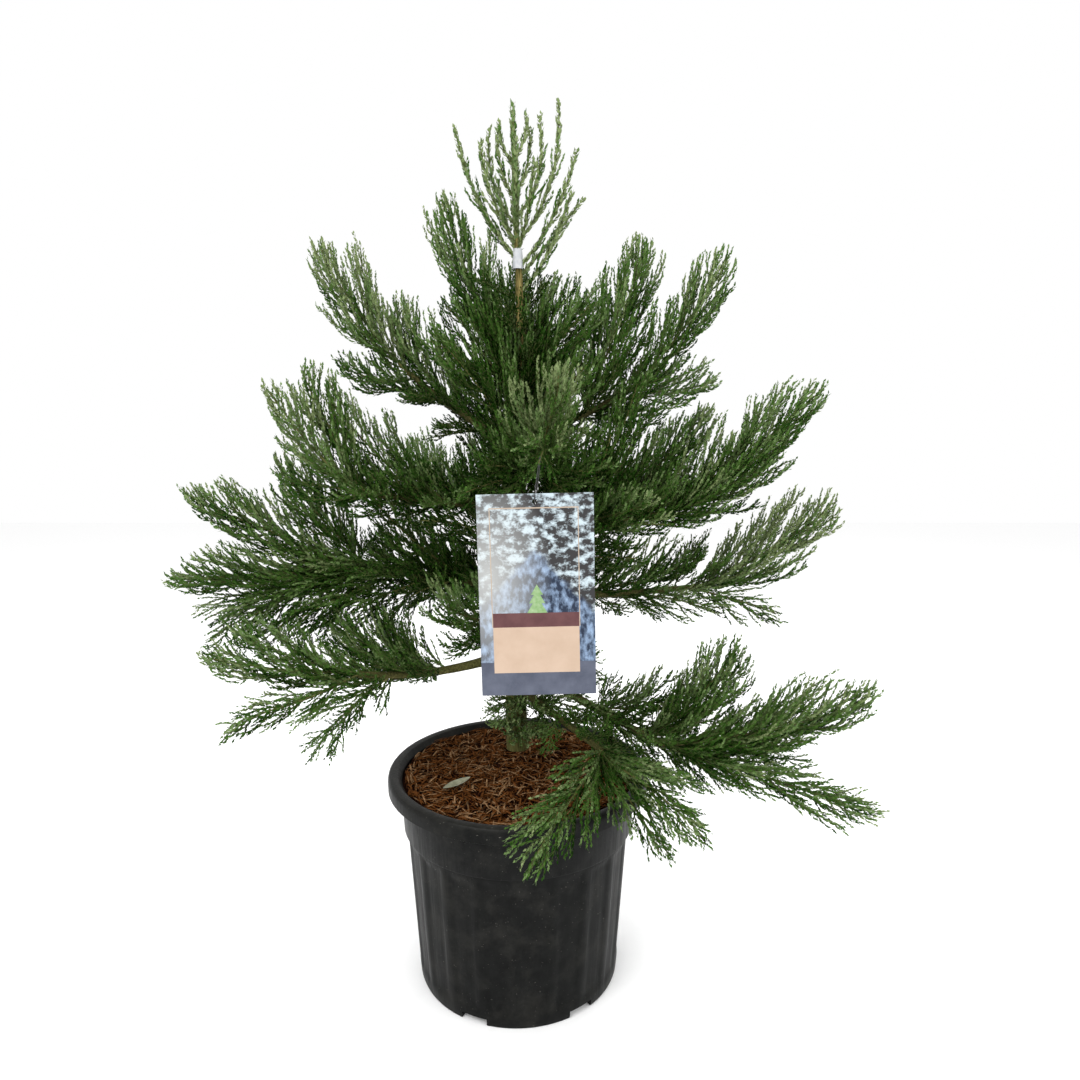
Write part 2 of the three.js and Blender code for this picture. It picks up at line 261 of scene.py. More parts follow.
# %% [markdown]
# ## Shared effects as node groups
# Three effects make up the finishes: a fine mottle of two colours, lengthwise furrows, and dust that
# settles where a surface faces up. Each is one shader group with named sockets. A group puts out
# only colours, masks and heights; the shader itself stays in each material.

# %% A small kit for groups and materials
def new_group(name, inputs, outputs):
    """An empty shader group: inputs and outputs are (name, kind, value) rows."""
    group = bpy.data.node_groups.new(name, "ShaderNodeTree")
    for label, kind, value in inputs:
        socket = group.interface.new_socket(label, in_out="INPUT", socket_type=kind)
        socket.default_value = value
    for label, kind in outputs:
        group.interface.new_socket(label, in_out="OUTPUT", socket_type=kind)
    return group, group.nodes.new("NodeGroupInput"), group.nodes.new("NodeGroupOutput")


def node(tree, kind, **values):
    """One node, with its properties and inputs set by name, or linked where a socket is given."""
    made = tree.nodes.new(kind)
    for key, value in values.items():
        if isinstance(value, bpy.types.NodeSocket):
            tree.links.new(value, made.inputs[key])
        elif key in made.inputs:
            made.inputs[key].default_value = value
        else:
            setattr(made, key, value)
    return made


def new_material(name, roughness, sheen):
    """A material of one Principled shader: the material, its node tree and the shader."""
    material = bpy.data.materials.new(name)
    material.use_nodes = True
    shader = material.node_tree.nodes["Principled BSDF"]
    shader.inputs["Roughness"].default_value = roughness
    shader.inputs["Specular IOR Level"].default_value = sheen
    return material, material.node_tree, shader


def plain_tint(tree, tint):
    """The output socket of a plain colour."""
    made = node(tree, "ShaderNodeRGB")
    made.outputs[0].default_value = (*tint, 1)
    return made.outputs[0]


def mix_colours(tree, share, first, second):
    """A colour mix, in which share, first and second are sockets."""
    mix = tree.nodes.new("ShaderNodeMix")
    mix.data_type = "RGBA"
    tree.links.new(share, mix.inputs[0])
    tree.links.new(first, mix.inputs[6])
    tree.links.new(second, mix.inputs[7])
    return mix.outputs[2]


def sharpen(tree, value, low, high):
    """Stretch a 0 to 1 value so that low becomes 0 and high becomes 1."""
    stretch = node(tree, "ShaderNodeMapRange", Value=value)
    stretch.inputs["From Min"].default_value = low
    stretch.inputs["From Max"].default_value = high
    return stretch.outputs["Result"]


def own_place(tree):
    """The output socket that gives a point's place on its piece."""
    return node(tree, "ShaderNodeTexCoord").outputs["Object"]


def bump(tree, height, strength, distance):
    """The output socket of a bump made from a height."""
    made = node(tree, "ShaderNodeBump", Height=height, Strength=strength, Distance=distance)
    return made.outputs["Normal"]


def dress(tree, shader, **sockets):
    """Link sockets to the shader's inputs, with an underscore for each space in an input's name."""
    for label, socket in sockets.items():
        tree.links.new(socket, shader.inputs[label.replace("_", " ")])


print("kit ready")

# %% Mottle: two colours in soft specks
mottle, mottle_in, mottle_out = new_group(
    "mottle",
    [("Dark", "NodeSocketColor", (0, 0, 0, 1)), ("Light", "NodeSocketColor", (1, 1, 1, 1)),
     ("Specks per metre", "NodeSocketFloat", 300.0)],
    [("Color", "NodeSocketColor"), ("Height", "NodeSocketFloat")])
mottle_noise = node(mottle, "ShaderNodeTexNoise", Vector=own_place(mottle), Detail=4.0, Roughness=0.6,
                    Scale=mottle_in.outputs["Specks per metre"])
mottle_share = sharpen(mottle, mottle_noise.outputs["Fac"], 0.32, 0.68)
mottle_colour = mix_colours(mottle, mottle_share, mottle_in.outputs["Dark"], mottle_in.outputs["Light"])
mottle.links.new(mottle_colour, mottle_out.inputs["Color"])
mottle.links.new(mottle_share, mottle_out.inputs["Height"])


def mottled(tree, dark, light, specks):
    """One use of the mottle group, with its two colours and its grain."""
    made = node(tree, "ShaderNodeGroup", node_tree=mottle)
    made.inputs["Dark"].default_value = (*dark, 1)
    made.inputs["Light"].default_value = (*light, 1)
    made.inputs["Specks per metre"].default_value = specks
    return made


print("group", mottle.name)

# %% Furrows: noise drawn out along Z
furrow, furrow_in, furrow_out = new_group(
    "furrow",
    [("Furrows per metre", "NodeSocketFloat", 300.0), ("Drawn out", "NodeSocketFloat", 0.15)],
    [("Mask", "NodeSocketFloat")])
furrow_stretch = node(furrow, "ShaderNodeCombineXYZ", X=1.0, Y=1.0, Z=furrow_in.outputs["Drawn out"])
furrow_map = node(furrow, "ShaderNodeMapping", Vector=own_place(furrow),
                  Scale=furrow_stretch.outputs["Vector"])
furrow_noise = node(furrow, "ShaderNodeTexNoise", Vector=furrow_map.outputs["Vector"], Detail=5.0,
                    Scale=furrow_in.outputs["Furrows per metre"], Roughness=0.62)
furrow.links.new(sharpen(furrow, furrow_noise.outputs["Fac"], 0.35, 0.65), furrow_out.inputs["Mask"])


def furrowed(tree, per_metre, drawn_out):
    """The mask that one use of the furrow group gives."""
    made = node(tree, "ShaderNodeGroup", node_tree=furrow)
    made.inputs["Furrows per metre"].default_value = per_metre
    made.inputs["Drawn out"].default_value = drawn_out
    return made.outputs["Mask"]


print("group", furrow.name)

# %% Dust: patches where the surface faces up
dust, dust_in, dust_out = new_group(
    "dust",
    [("Amount", "NodeSocketFloat", 0.5), ("Patches per metre", "NodeSocketFloat", 30.0)],
    [("Mask", "NodeSocketFloat")])
dust_place = node(dust, "ShaderNodeTexCoord")
dust_noise = node(dust, "ShaderNodeTexNoise", Vector=dust_place.outputs["Object"], Detail=6.0,
                  Scale=dust_in.outputs["Patches per metre"], Roughness=0.7)
dust_up = node(dust, "ShaderNodeSeparateXYZ", Vector=dust_place.outputs["Normal"])
dust_sum = node(dust, "ShaderNodeMath", operation="MULTIPLY_ADD")
dust_sum.inputs[1].default_value = 0.25
dust_scaled = node(dust, "ShaderNodeMath", operation="MULTIPLY")
dust.links.new(dust_up.outputs["Z"], dust_sum.inputs[0])
dust.links.new(dust_noise.outputs["Fac"], dust_sum.inputs[2])
dust.links.new(sharpen(dust, dust_sum.outputs["Value"], 0.45, 0.85), dust_scaled.inputs[0])
dust.links.new(dust_in.outputs["Amount"], dust_scaled.inputs[1])
dust.links.new(dust_scaled.outputs["Value"], dust_out.inputs["Mask"])
print("group", dust.name)

# %% A material with a mottled colour and a bump
MOTTLE_DEPTH = 0.4 * MM


def mottled_material(name, dark, light, specks, roughness, relief=0.3, sheen=0.5):
    """A Principled material whose colour and bump come from the mottle group."""
    material, tree, shader = new_material(name, roughness, sheen)
    specked = mottled(tree, dark, light, specks)
    dress(tree, shader, Base_Color=specked.outputs["Color"],
          Normal=bump(tree, specked.outputs["Height"], relief, MOTTLE_DEPTH))
    return material


floor.data.materials.append(
    mottled_material("pale_floor", (0.94, 0.94, 0.94), (0.96, 0.96, 0.96), 40, 0.9, relief=0.0))
print("floor finish set")

# %% [markdown]
# ## The pot
# A nursery pot is blow-thin moulded plastic: a ribbed, tapering body, a plain band, and a rolled lip
# that hides a hollow underneath. It could be turned on the CAD profile, but drawing one ring up
# through its heights, extrude by extrude, keeps the wall's real thickness inside and out.

# %% Driving sizes of the pot, from the frame
pot_low, pot_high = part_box("pot")
soil_low, soil_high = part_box("soil")
pot_radius = (pot_high.x - pot_low.x) / 2
pot_height = pot_high.z
lip_drop = 22 * MM
neck_radius = pot_radius - 19 * MM
shoulder_radius = pot_radius - 28 * MM
shoulder_height = 238 * MM
foot_radius = pot_radius - 44 * MM
pot_wall = 2.2 * MM
rib_count = 20
print("pot radius", round(pot_radius, 4), "height", round(pot_height, 4))

# %% Draw one ring through its heights
def start_ring(name, radius, height, corners):
    """An open ring of edges at a height, in edit mode and selected."""
    clear_selection()
    bpy.ops.mesh.primitive_circle_add(vertices=corners, radius=radius, location=(0, 0, 0))
    ring = named(name)
    bpy.ops.object.mode_set(mode="EDIT")
    bpy.ops.mesh.select_mode(type="VERT")
    bpy.ops.mesh.select_all(action="SELECT")
    bpy.ops.transform.translate(value=(0, 0, height))
    return ring


def raise_ring(stations, radius, height):
    """Extrude the selected ring, now at a radius and height, through further stations."""
    for next_radius, next_height in stations:
        bpy.ops.mesh.extrude_region_move(
            TRANSFORM_OT_translate={"value": (0, 0, next_height - height)})
        share = next_radius / radius
        bpy.ops.transform.resize(value=(share, share, 1), center_override=(0, 0, 0))
        radius, height = next_radius, next_height


def body_radius(height):
    """Outer radius of the tapering body."""
    return foot_radius + (shoulder_radius - foot_radius) * height / shoulder_height


rib_from = 20 * MM
rib_to = 232 * MM
rib_rows = [rib_from, rib_from + 4 * MM, rib_from + 12 * MM]
rib_rows += [rib_from + (rib_to - rib_from) * step / 8 for step in range(1, 8)]
rib_rows += [rib_to - 12 * MM, rib_to - 4 * MM, rib_to]
ring_corners = rib_count * 12
pot = start_ring("pot_shell", foot_radius - 3 * MM, 0, ring_corners)
outside = [(foot_radius - 0.8 * MM, 0.7 * MM), (foot_radius, 3 * MM)]
outside += [(body_radius(height), height) for height in rib_rows]
outside += [
    (shoulder_radius, shoulder_height - 1 * MM),
    (shoulder_radius + 0.8 * MM, shoulder_height),
    (neck_radius - 5 * MM, shoulder_height + 1 * MM),
    (neck_radius - 4 * MM, shoulder_height + 3 * MM),
    (neck_radius - 0.5 * MM, pot_height - lip_drop + 2 * MM),
    (neck_radius, pot_height - 6 * MM),
    (pot_radius - 4 * MM, pot_height - 5.5 * MM),
    (pot_radius - 2.6 * MM, pot_height - 7 * MM),
    (pot_radius - 2.2 * MM, pot_height - lip_drop),
    (pot_radius - 1.2 * MM, pot_height - lip_drop - 0.4 * MM),
    (pot_radius - 0.1 * MM, pot_height - lip_drop + 0.4 * MM),
    (pot_radius, pot_height - lip_drop + 6 * MM),
    (pot_radius, pot_height - 7 * MM),
    (pot_radius - 0.8 * MM, pot_height - 3.4 * MM),
    (pot_radius - 2.8 * MM, pot_height - 1 * MM),
    (pot_radius - 5.5 * MM, pot_height - 0.1 * MM),
    (pot_radius - 11 * MM, pot_height),
    (pot_radius - 14.5 * MM, pot_height - 0.8 * MM),
    (pot_radius - 17 * MM, pot_height - 3 * MM),
    (neck_radius - pot_wall, pot_height - 9 * MM),
    (neck_radius - pot_wall - 4 * MM, shoulder_height + 4 * MM),
    (shoulder_radius - pot_wall - 2 * MM, shoulder_height - 3 * MM),
    (foot_radius - pot_wall - 2 * MM, 4 * MM),
]
raise_ring(outside, foot_radius - 3 * MM, 0)
bpy.ops.mesh.edge_face_add()
bpy.ops.object.mode_set(mode="OBJECT")
pick_vertices(pot, lambda co: abs(co.z) < 0.0001)
edit(pot)
bpy.ops.mesh.edge_face_add()
clear_selection()
print("pot shell corners", len(pot.data.vertices))

# %% [markdown]
# The flutes are shallow hollows between narrow ribs. All the vertices in the hollows are picked by
# their angle and drawn in together towards the axis, so the twenty flutes are cut in two strokes.

# %% Press the flutes into the body
def within_rib(co):
    """How many twelfths of a rib's pitch a place lies from the crest, 0 to 6."""
    twelfth = (math.atan2(co.y, co.x) / (2 * math.pi)) % 1 * ring_corners % 12
    return min(twelfth, 12 - twelfth)


def press_hollow(nearest, depth, margin):
    """Draw the outer body's vertices in between the ribs towards the axis."""
    def in_hollow(co):
        """True for a place on the body's outside, between two ribs."""
        radius = math.hypot(co.x, co.y)
        between = rib_from + margin < co.z < rib_to - margin
        return between and radius > body_radius(co.z) - 2.5 * MM and within_rib(co) > nearest
    count = pick_vertices(pot, in_hollow)
    edit(pot)
    share = 1 - depth / ((foot_radius + shoulder_radius) / 2)
    bpy.ops.transform.resize(value=(share, share, 1), center_override=(0, 0, 0))
    clear_selection()
    return count


print("flute vertices", press_hollow(1.5, 1.3 * MM, 1 * MM), press_hollow(2.5, 0.9 * MM, 6 * MM))

# %% Cut the drain notches at the foot
notch_count = 6
notch_turn = math.radians(-113)
notch_size = (35 * MM, 40 * MM, 22 * MM)
cutters = []
for step in range(notch_count):
    turn = notch_turn + step * 2 * math.pi / notch_count
    reach = foot_radius - 7 * MM
    clear_selection()
    bpy.ops.mesh.primitive_cube_add(
        size=1, location=(reach * math.cos(turn), reach * math.sin(turn), 0), rotation=(0, 0, turn))
    cutter = bpy.context.object
    cutter.scale = notch_size
    settle(cutter)
    cutters.append(cutter)
select_only(*cutters)
bpy.ops.object.join()
notches = bpy.context.object
face_outwards(pot)
cut_away(pot, notches)
smooth_below(pot, 28)
settle(pot)
print("pot faces", len(pot.data.polygons))

# %% [markdown]
# Black moulded plastic is never quite black. It carries a soft sheen, a fine moulded grain, faint
# upright drag marks from the mould, pale scuffs and a bloom of dust on everything that faces up.

# %% Black pot plastic
pot_plastic, pot_tree, pot_shader = new_material("black_pot_plastic", 0.5, 0.07)
pot_grain = mottled(pot_tree, (0.0028, 0.0031, 0.0029), (0.0062, 0.0066, 0.0062), 60)
pot_drag = furrowed(pot_tree, 220, 0.04)
pot_dust = node(pot_tree, "ShaderNodeGroup", node_tree=dust)
pot_dust.inputs["Amount"].default_value = 0.16
pot_dust.inputs["Patches per metre"].default_value = 24
pot_dust_tint = plain_tint(pot_tree, (0.10, 0.095, 0.082))
pot_specks = node(pot_tree, "ShaderNodeTexNoise", Vector=own_place(pot_tree), Scale=420.0, Detail=2.0)
pot_speck_mask = sharpen(pot_tree, pot_specks.outputs["Fac"], 0.72, 0.76)
pot_dusty = mix_colours(pot_tree, pot_dust.outputs["Mask"], pot_grain.outputs["Color"], pot_dust_tint)
pot_colour = mix_colours(pot_tree, pot_speck_mask, pot_dusty, pot_dust_tint)
pot_rough = node(pot_tree, "ShaderNodeMapRange", Value=pot_drag)
pot_rough.inputs["To Min"].default_value = 0.34
pot_rough.inputs["To Max"].default_value = 0.52
dress(pot_tree, pot_shader, Base_Color=pot_colour, Roughness=pot_rough.outputs["Result"],
      Normal=bump(pot_tree, pot_drag, 0.12, 0.6 * MM))
hand_over(pot, "pot_plastic", pot_plastic, "pot")

# %% [markdown]
# ## Reading the limbs from the frame
# The trunk and each bough are plain tapering solids. Slicing one across its run at even steps gives
# the middle and the radius at every step, which is all that a bark mesh needs to follow it exactly.

# %% Slice a node across its run
def node_corners(name):
    """All corner places of a node, as an array."""
    mesh = frame["nodes"][name].data
    places = np.empty(len(mesh.vertices) * 3)
    mesh.vertices.foreach_get("co", places)
    return places.reshape(-1, 3)


def run_ends(name):
    """The two ends of a node along its longest direction."""
    places = node_corners(name)
    middle = places.mean(0)
    axis = np.linalg.svd(places - middle, full_matrices=False)[2][0]
    along = (places - middle) @ axis
    return Vector(middle + axis * along.min()), Vector(middle + axis * along.max())


FIRST_CUT = 0.03      # share of a node's length before its first cut
CUT_SPAN = 0.94       # share of its length between the first cut and the last


def slices(name, first, last, count):
    """(middle, mean radius) of a node's cross-section at even steps between two points."""
    source = frame["nodes"][name].data
    axis = (last - first).normalized()
    found = []
    for step in range(count):
        share = FIRST_CUT + CUT_SPAN * step / (count - 1)
        work = bmesh.new()
        work.from_mesh(source)
        bmesh.ops.remove_doubles(work, verts=work.verts, dist=0.00001)
        cut = bmesh.ops.bisect_plane(
            work, geom=work.verts[:] + work.edges[:] + work.faces[:],
            plane_co=first.lerp(last, share), plane_no=axis)["geom_cut"]
        edge = [item.co.copy() for item in cut if isinstance(item, bmesh.types.BMVert)]
        work.free()
        if edge:
            middle = sum(edge, Vector()) / len(edge)
            found.append((middle, sum((place - middle).length for place in edge) / len(edge)))
    return found


trunk_low, trunk_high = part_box("trunk")
trunk_foot = Vector((0, 0, trunk_low.z))
trunk_run = slices("trunk", trunk_foot, Vector((0, 0, trunk_high.z)), 40)
print("trunk radius from", round(trunk_run[0][1], 4), "to", round(trunk_run[-1][1], 4))

# %% Runs of all boughs, from the trunk outwards
def trunk_distance(place):
    """How far a place lies from the trunk's upright axis."""
    return math.hypot(place.x, place.y)


limb_runs = {"trunk": trunk_run}
for name in bough_nodes:
    inner, outer = sorted(run_ends(name), key=trunk_distance)
    run = slices(name, inner, outer, 8)
    foot = min(trunk_run, key=lambda station: abs(station[0].z - run[0][0].z))
    rooted = run[0][0].lerp(Vector((foot[0].x, foot[0].y, run[0][0].z)), 0.5)
    limb_runs[name] = [(rooted, run[0][1] * 1.5)] + run
print("boughs read:", len(limb_runs) - 1)

# %% [markdown]
# ## Bark
# Young sequoia bark is thin, fibrous and drawn out along the limb, with swollen places where side
# shoots once sat. A curve with a radius at every point gives the tapering limb; made a mesh, its
# surface is pushed in and out by noise that is squeezed along the limb's run, so it has real relief.

# %% A limb as a tapering tube
def limb_tube(name, run, sides, between, endless=False):
    """A tube through (middle, radius) stations, with extra rings between them, and capped or endless."""
    outline = bpy.data.curves.new(name, "CURVE")
    outline.dimensions = "3D"
    outline.bevel_depth = 1.0
    outline.bevel_resolution = sides
    outline.use_fill_caps = True
    outline.resolution_u = between
    spline = outline.splines.new("BEZIER")
    spline.bezier_points.add(len(run) - 1)
    for point, (middle, radius) in zip(spline.bezier_points, run):
        point.co = middle
        point.radius = radius
        point.handle_left_type = point.handle_right_type = "AUTO"
    spline.use_cyclic_u = endless
    tube = bpy.data.objects.new(name, outline)
    bpy.context.scene.collection.objects.link(tube)
    select_only(tube)
    bpy.ops.object.convert(target="MESH")
    return bpy.context.object


def add_relief(tube, run, depth, grain):
    """Push a tube's surface along its normals by noise drawn out along the run."""
    axis = (run[-1][0] - run[0][0]).normalized()
    moved = []
    for vertex in tube.data.vertices:
        along = vertex.co.dot(axis)
        across = vertex.co - axis * along
        where = across * grain + axis * along * grain * 0.16
        ridges = 0.5 - abs(noise.noise(where))
        swell = noise.noise(vertex.co * 28)
        moved.append(vertex.co + vertex.normal * (depth * (2 * ridges - 0.75) + depth * 0.8 * swell))
    for vertex, place in zip(tube.data.vertices, moved):
        vertex.co = place


print("limb helpers ready")

# %% Trunk and bough meshes
trunk_tube = limb_tube("trunk_bark", trunk_run, 10, 6)
add_relief(trunk_tube, trunk_run, 0.7 * MM, 260)
face_outwards(trunk_tube)
bough_tubes = []
for name in bough_nodes:
    tube = limb_tube("bark_" + name, limb_runs[name], 6, 8)
    add_relief(tube, limb_runs[name], 0.4 * MM, 420)
    face_outwards(tube)
    bough_tubes.append(tube)
print("trunk corners", len(trunk_tube.data.vertices), "bough tubes", len(bough_tubes))

# %% Bark finish
def bark_material(name, furrow_tint, ridge_tint, patch_tint, furrows, drawn_out, young=()):
    """Fibrous bark: dark furrows, ridges in two tints, and younger tints, each from a height up."""
    material, tree, shader = new_material(name, 0.82, 0.1)
    lines = furrowed(tree, furrows, drawn_out)
    ridges = mottled(tree, ridge_tint, patch_tint, 55).outputs["Color"]
    for young_tint, young_from, over in young:
        axes = node(tree, "ShaderNodeSeparateXYZ", Vector=own_place(tree))
        rise = sharpen(tree, axes.outputs["Z"], young_from, young_from + over)
        ridges = mix_colours(tree, rise, ridges, plain_tint(tree, young_tint))
    dress(tree, shader, Base_Color=mix_colours(tree, lines, plain_tint(tree, furrow_tint), ridges),
          Normal=bump(tree, lines, 0.6, 0.8 * MM))
    return material


golden = ((0.27, 0.21, 0.075), 0.88, 0.10)
green_again = ((0.11, 0.15, 0.045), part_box("leader_tie")[1].z, 0.03)
trunk_bark = bark_material("grey_green_bark", (0.034, 0.034, 0.008), (0.085, 0.095, 0.026),
                           (0.17, 0.15, 0.055), 420, 0.14, (golden, green_again))
bough_bark = bark_material("olive_bark", (0.022, 0.021, 0.006), (0.070, 0.074, 0.020),
                           (0.125, 0.115, 0.040), 620, 0.6)
hand_over(trunk_tube, "trunk_bark", trunk_bark, "trunk")
for name, tube in zip(bough_nodes, bough_tubes):
    hand_over(tube, "bough_bark", bough_bark, name)

# %% [markdown]
# ## How the foliage grows
# A sequoia shoot is a green cord wrapped in small awl-shaped leaves. Every bough end carries a plume:
# a leading axis, long side shoots that leave it wide and then sweep forwards and up, and short shoots
# along those. Particles would be lost on export, so the rule below writes plain meshes from arrays.
# Each solid of the frame is the outer limit of one plume, found by casting rays inwards onto it.

# %% The plume's axis inside one solid
dice = random.Random(23)
all_limb_places = [station[0] for run in limb_runs.values() for station in run]


def smooth_run(places, count):
    """Resample a run of places evenly, with its corners rounded off."""
    line = np.array([tuple(place) for place in places])
    for _ in range(2):
        line[1:-1] = 0.25 * line[:-2] + 0.5 * line[1:-1] + 0.25 * line[2:]
    gone = np.r_[0, np.cumsum(np.linalg.norm(np.diff(line, axis=0), axis=1))]
    wanted = np.linspace(0, gone[-1], count)
    return np.column_stack([np.interp(wanted, gone, line[:, k]) for k in range(3)])


def plume_axis(name):
    """The leading axis of a plume, from the limb that carries it to its far tip."""
    def limb_gap(place):
        """Distance to the nearest limb."""
        return min((place - other).length for other in all_limb_places)
    inner, outer = sorted(run_ends(name), key=limb_gap)
    middles = [station[0] for station in slices(name, inner, outer, 9)]
    anchor = min(all_limb_places, key=lambda place: (place - middles[0]).length)
    return smooth_run([anchor] + middles, 24)


axis_example = plume_axis(foliage_nodes[2])
print("an axis runs", round(float(np.linalg.norm(axis_example[-1] - axis_example[0])), 3), "m")

# %% One shoot as a bent line
Shoot = namedtuple("Shoot", "line core leaf tint order")      # order 0 is an axis, 1 and 2 its branches
shoots = []
# dealt by place, the darker greens are painted shade inside the crown and the lighter ones painted light
# on its outside; FRESH is also the paler green of young growth
SHADE, DEEP, MID, LIGHT, FRESH = range(5)      # the five greens, from the darkest to the freshest
# radius of the green cord of each kind of shoot, in metres
AXIS_CORE = 0.0021
LONG_CORE = 0.0012
SIDE_CORE = 0.0006
SPRAY_CORE = 0.0013
SPRAY_SIDE_CORE = 0.0009
WHIP_CORE = 0.0024
LEADER_CORES = (0.0044, 0.0032)
# length of a leaf on each, in metres; a side shoot's leaves are a little shorter than its parent's
PLUME_LEAF = 0.0073
YOUNG_LEAF = 0.0070
SPRAY_LEAF = 0.0062
WHIP_LEAF = 0.0092
WHIP_SIDE_LEAF = 0.0080
SIDE_LEAF_SHARE = 0.88


def bent_line(start, heading, finish, points):
    """A line that leaves in one direction and bends to an end point."""
    start, finish = np.asarray(start, float), np.asarray(finish, float)
    elbow = start + np.asarray(heading) * np.linalg.norm(finish - start) * 0.5
    t = np.linspace(0, 1, points)[:, None]
    return (1 - t) ** 2 * start + 2 * t * (1 - t) * elbow + t ** 2 * finish


# x, z and radius of two openings right through the crown
sky_gaps = [(-0.150, 0.850, 0.027), (0.165, 0.515, 0.030)]


def add_shoot(line, core, leaf, tint, order):
    """Keep a shoot, unless its outer half is in an opening of the crown."""
    if order > 0:
        for x, z, radius in sky_gaps:
            if np.hypot(line[len(line) // 2:, 0] - x, line[len(line) // 2:, 2] - z).min() < radius:
                return False
    shoots.append(Shoot(line, core, leaf, tint, order))
    return True


def unit(vector):
    """A direction of length one."""
    return vector / max(float(np.linalg.norm(vector)), 1e-9)


def within_greens(tint):
    """The nearest of the five greens."""
    return max(SHADE, min(FRESH, tint))


def pointing(turn, lift):
    """The direction with a turn about the upright and a lift above the level, in radians."""
    return np.array((math.cos(turn) * math.cos(lift), math.sin(turn) * math.cos(lift), math.sin(lift)))


def station_at(line, share):
    """Place and direction at a share of the way through a line's points."""
    last = len(line) - 1
    base = min(int(share * last), last - 1)
    step = line[base + 1] - line[base]
    return line[base] + step * (share * last - base), unit(step)


def beside(tangent, turn):
    """A direction square to a tangent, turned about it."""
    side = unit(np.cross(tangent, (0.0, 0.0, 1.0)) + np.array((1e-6, 0, 0)))
    over = np.cross(side, tangent)
    return side * math.cos(turn) + over * math.sin(turn)


print("shoot helpers ready")

# %% Side shoots along a parent
GOLDEN_DEGREES = 137.5
GOLDEN = math.radians(GOLDEN_DEGREES)
ANY_TURN = 6.28       # a full circle, for a first shoot that may stand on any side
box_low = np.array(cad_low) - 4 * MM
box_high = np.array(cad_high) + 4 * MM
# pitch and length are in metres, angle in degrees from the parent
SIDE_RULE = {"pitch": 0.0088, "angle": 29, "most": 0.088, "least": 0.012, "share": 0.60, "lift": 0.50}
DROOP_RULE = dict(SIDE_RULE, lift=0.04)
# a draw below the first share makes a side shoot lighter than its parent, one above the second darker;
# near the tip more turn lighter, as painted light and fresher growth, and further in more turn darker,
# as painted shade
TIP_TINTS = (0.58, 0.88)
INNER_SHADE_TINTS = (0.20, 0.62)


def anywhere_in_box(place):
    """True inside the frame's box."""
    return (place > box_low).all() and (place < box_high).all()


def line_length(line):
    """Length along a bent line."""
    return float(np.linalg.norm(np.diff(line, axis=0), axis=1).sum())


def grow_side_shoots(parent, tint, order, rule, keep_inside, leaf):
    """Shoots on a parent, shorter towards its tip, each bending forwards and up."""
    total = line_length(parent)
    along = rule["pitch"] * dice.uniform(0.6, 1.4) + 0.08 * total
    turn = dice.uniform(0, ANY_TURN)
    while along < total * 0.97:
        start, tangent = station_at(parent, along / total)
        turn += GOLDEN + dice.uniform(-0.35, 0.35)
        angle = math.radians(rule["angle"] * dice.uniform(0.8, 1.2))
        length = min(rule["share"] * (total - along) + rule["least"], rule["most"])
        length *= dice.uniform(0.65, 1.15)
        out = tangent * math.cos(angle) + beside(tangent, turn) * math.sin(angle)
        forward = unit(out * 0.6 + tangent * 0.4 + np.array((0, 0, rule["lift"])))
        finish = start + forward * length
        if keep_inside(finish):
            line = bent_line(start, out, finish, 4)
            own = dice.random()
            # side shoots further in on their parent turn darker more often, as painted shade inside the
            # plume
            lighter, darker = TIP_TINTS if along > 0.65 * total else INNER_SHADE_TINTS
            change = 1 if own < lighter else -1 if own > darker else 0
            add_shoot(line, SIDE_CORE, leaf, within_greens(tint + change), order)
        along += rule["pitch"] * dice.uniform(0.7, 1.3)


print("side shoots every", SIDE_RULE["pitch"] / MM, "mm")

# %% [markdown]
# A whole plume is then a short loop. Targets are spread over the inside of the solid by turning a
# fixed angle for each new shoot, as the plant itself does. A ray cast back towards the axis finds the
# solid's surface on that side, so the plume takes the solid's own uneven outline.

# %% Grow one plume
BARE_SHARE = 0.14     # share of a plume's axis below its first long shoot
SHOOT_SPAN = 0.86     # share of it that carries long shoots
INNER_REACH = 0.55    # how far every third long shoot reaches towards the outline
LOOK_IN = 0.3         # rays are cast inwards from this far out, so the grooves of the boughs don't count
SOLID_MARGIN = 14 * MM


def plume_surface(name):
    """The solid's surface, for casting rays."""
    mesh = frame["nodes"][name].data
    return BVHTree.FromPolygons(
        [vertex.co for vertex in mesh.vertices], [tuple(face.vertices) for face in mesh.polygons])


def inside_test(surface, margin):
    """A test for places no further than a margin outside a surface, and inside the frame's box."""
    def near_enough(place):
        """True for a place within the box and near enough to the surface."""
        if not anywhere_in_box(place):
            return False
        found, normal, _, gap = surface.find_nearest(Vector(place))
        return (Vector(place) - found).dot(normal) < 0 or gap < margin
    return near_enough


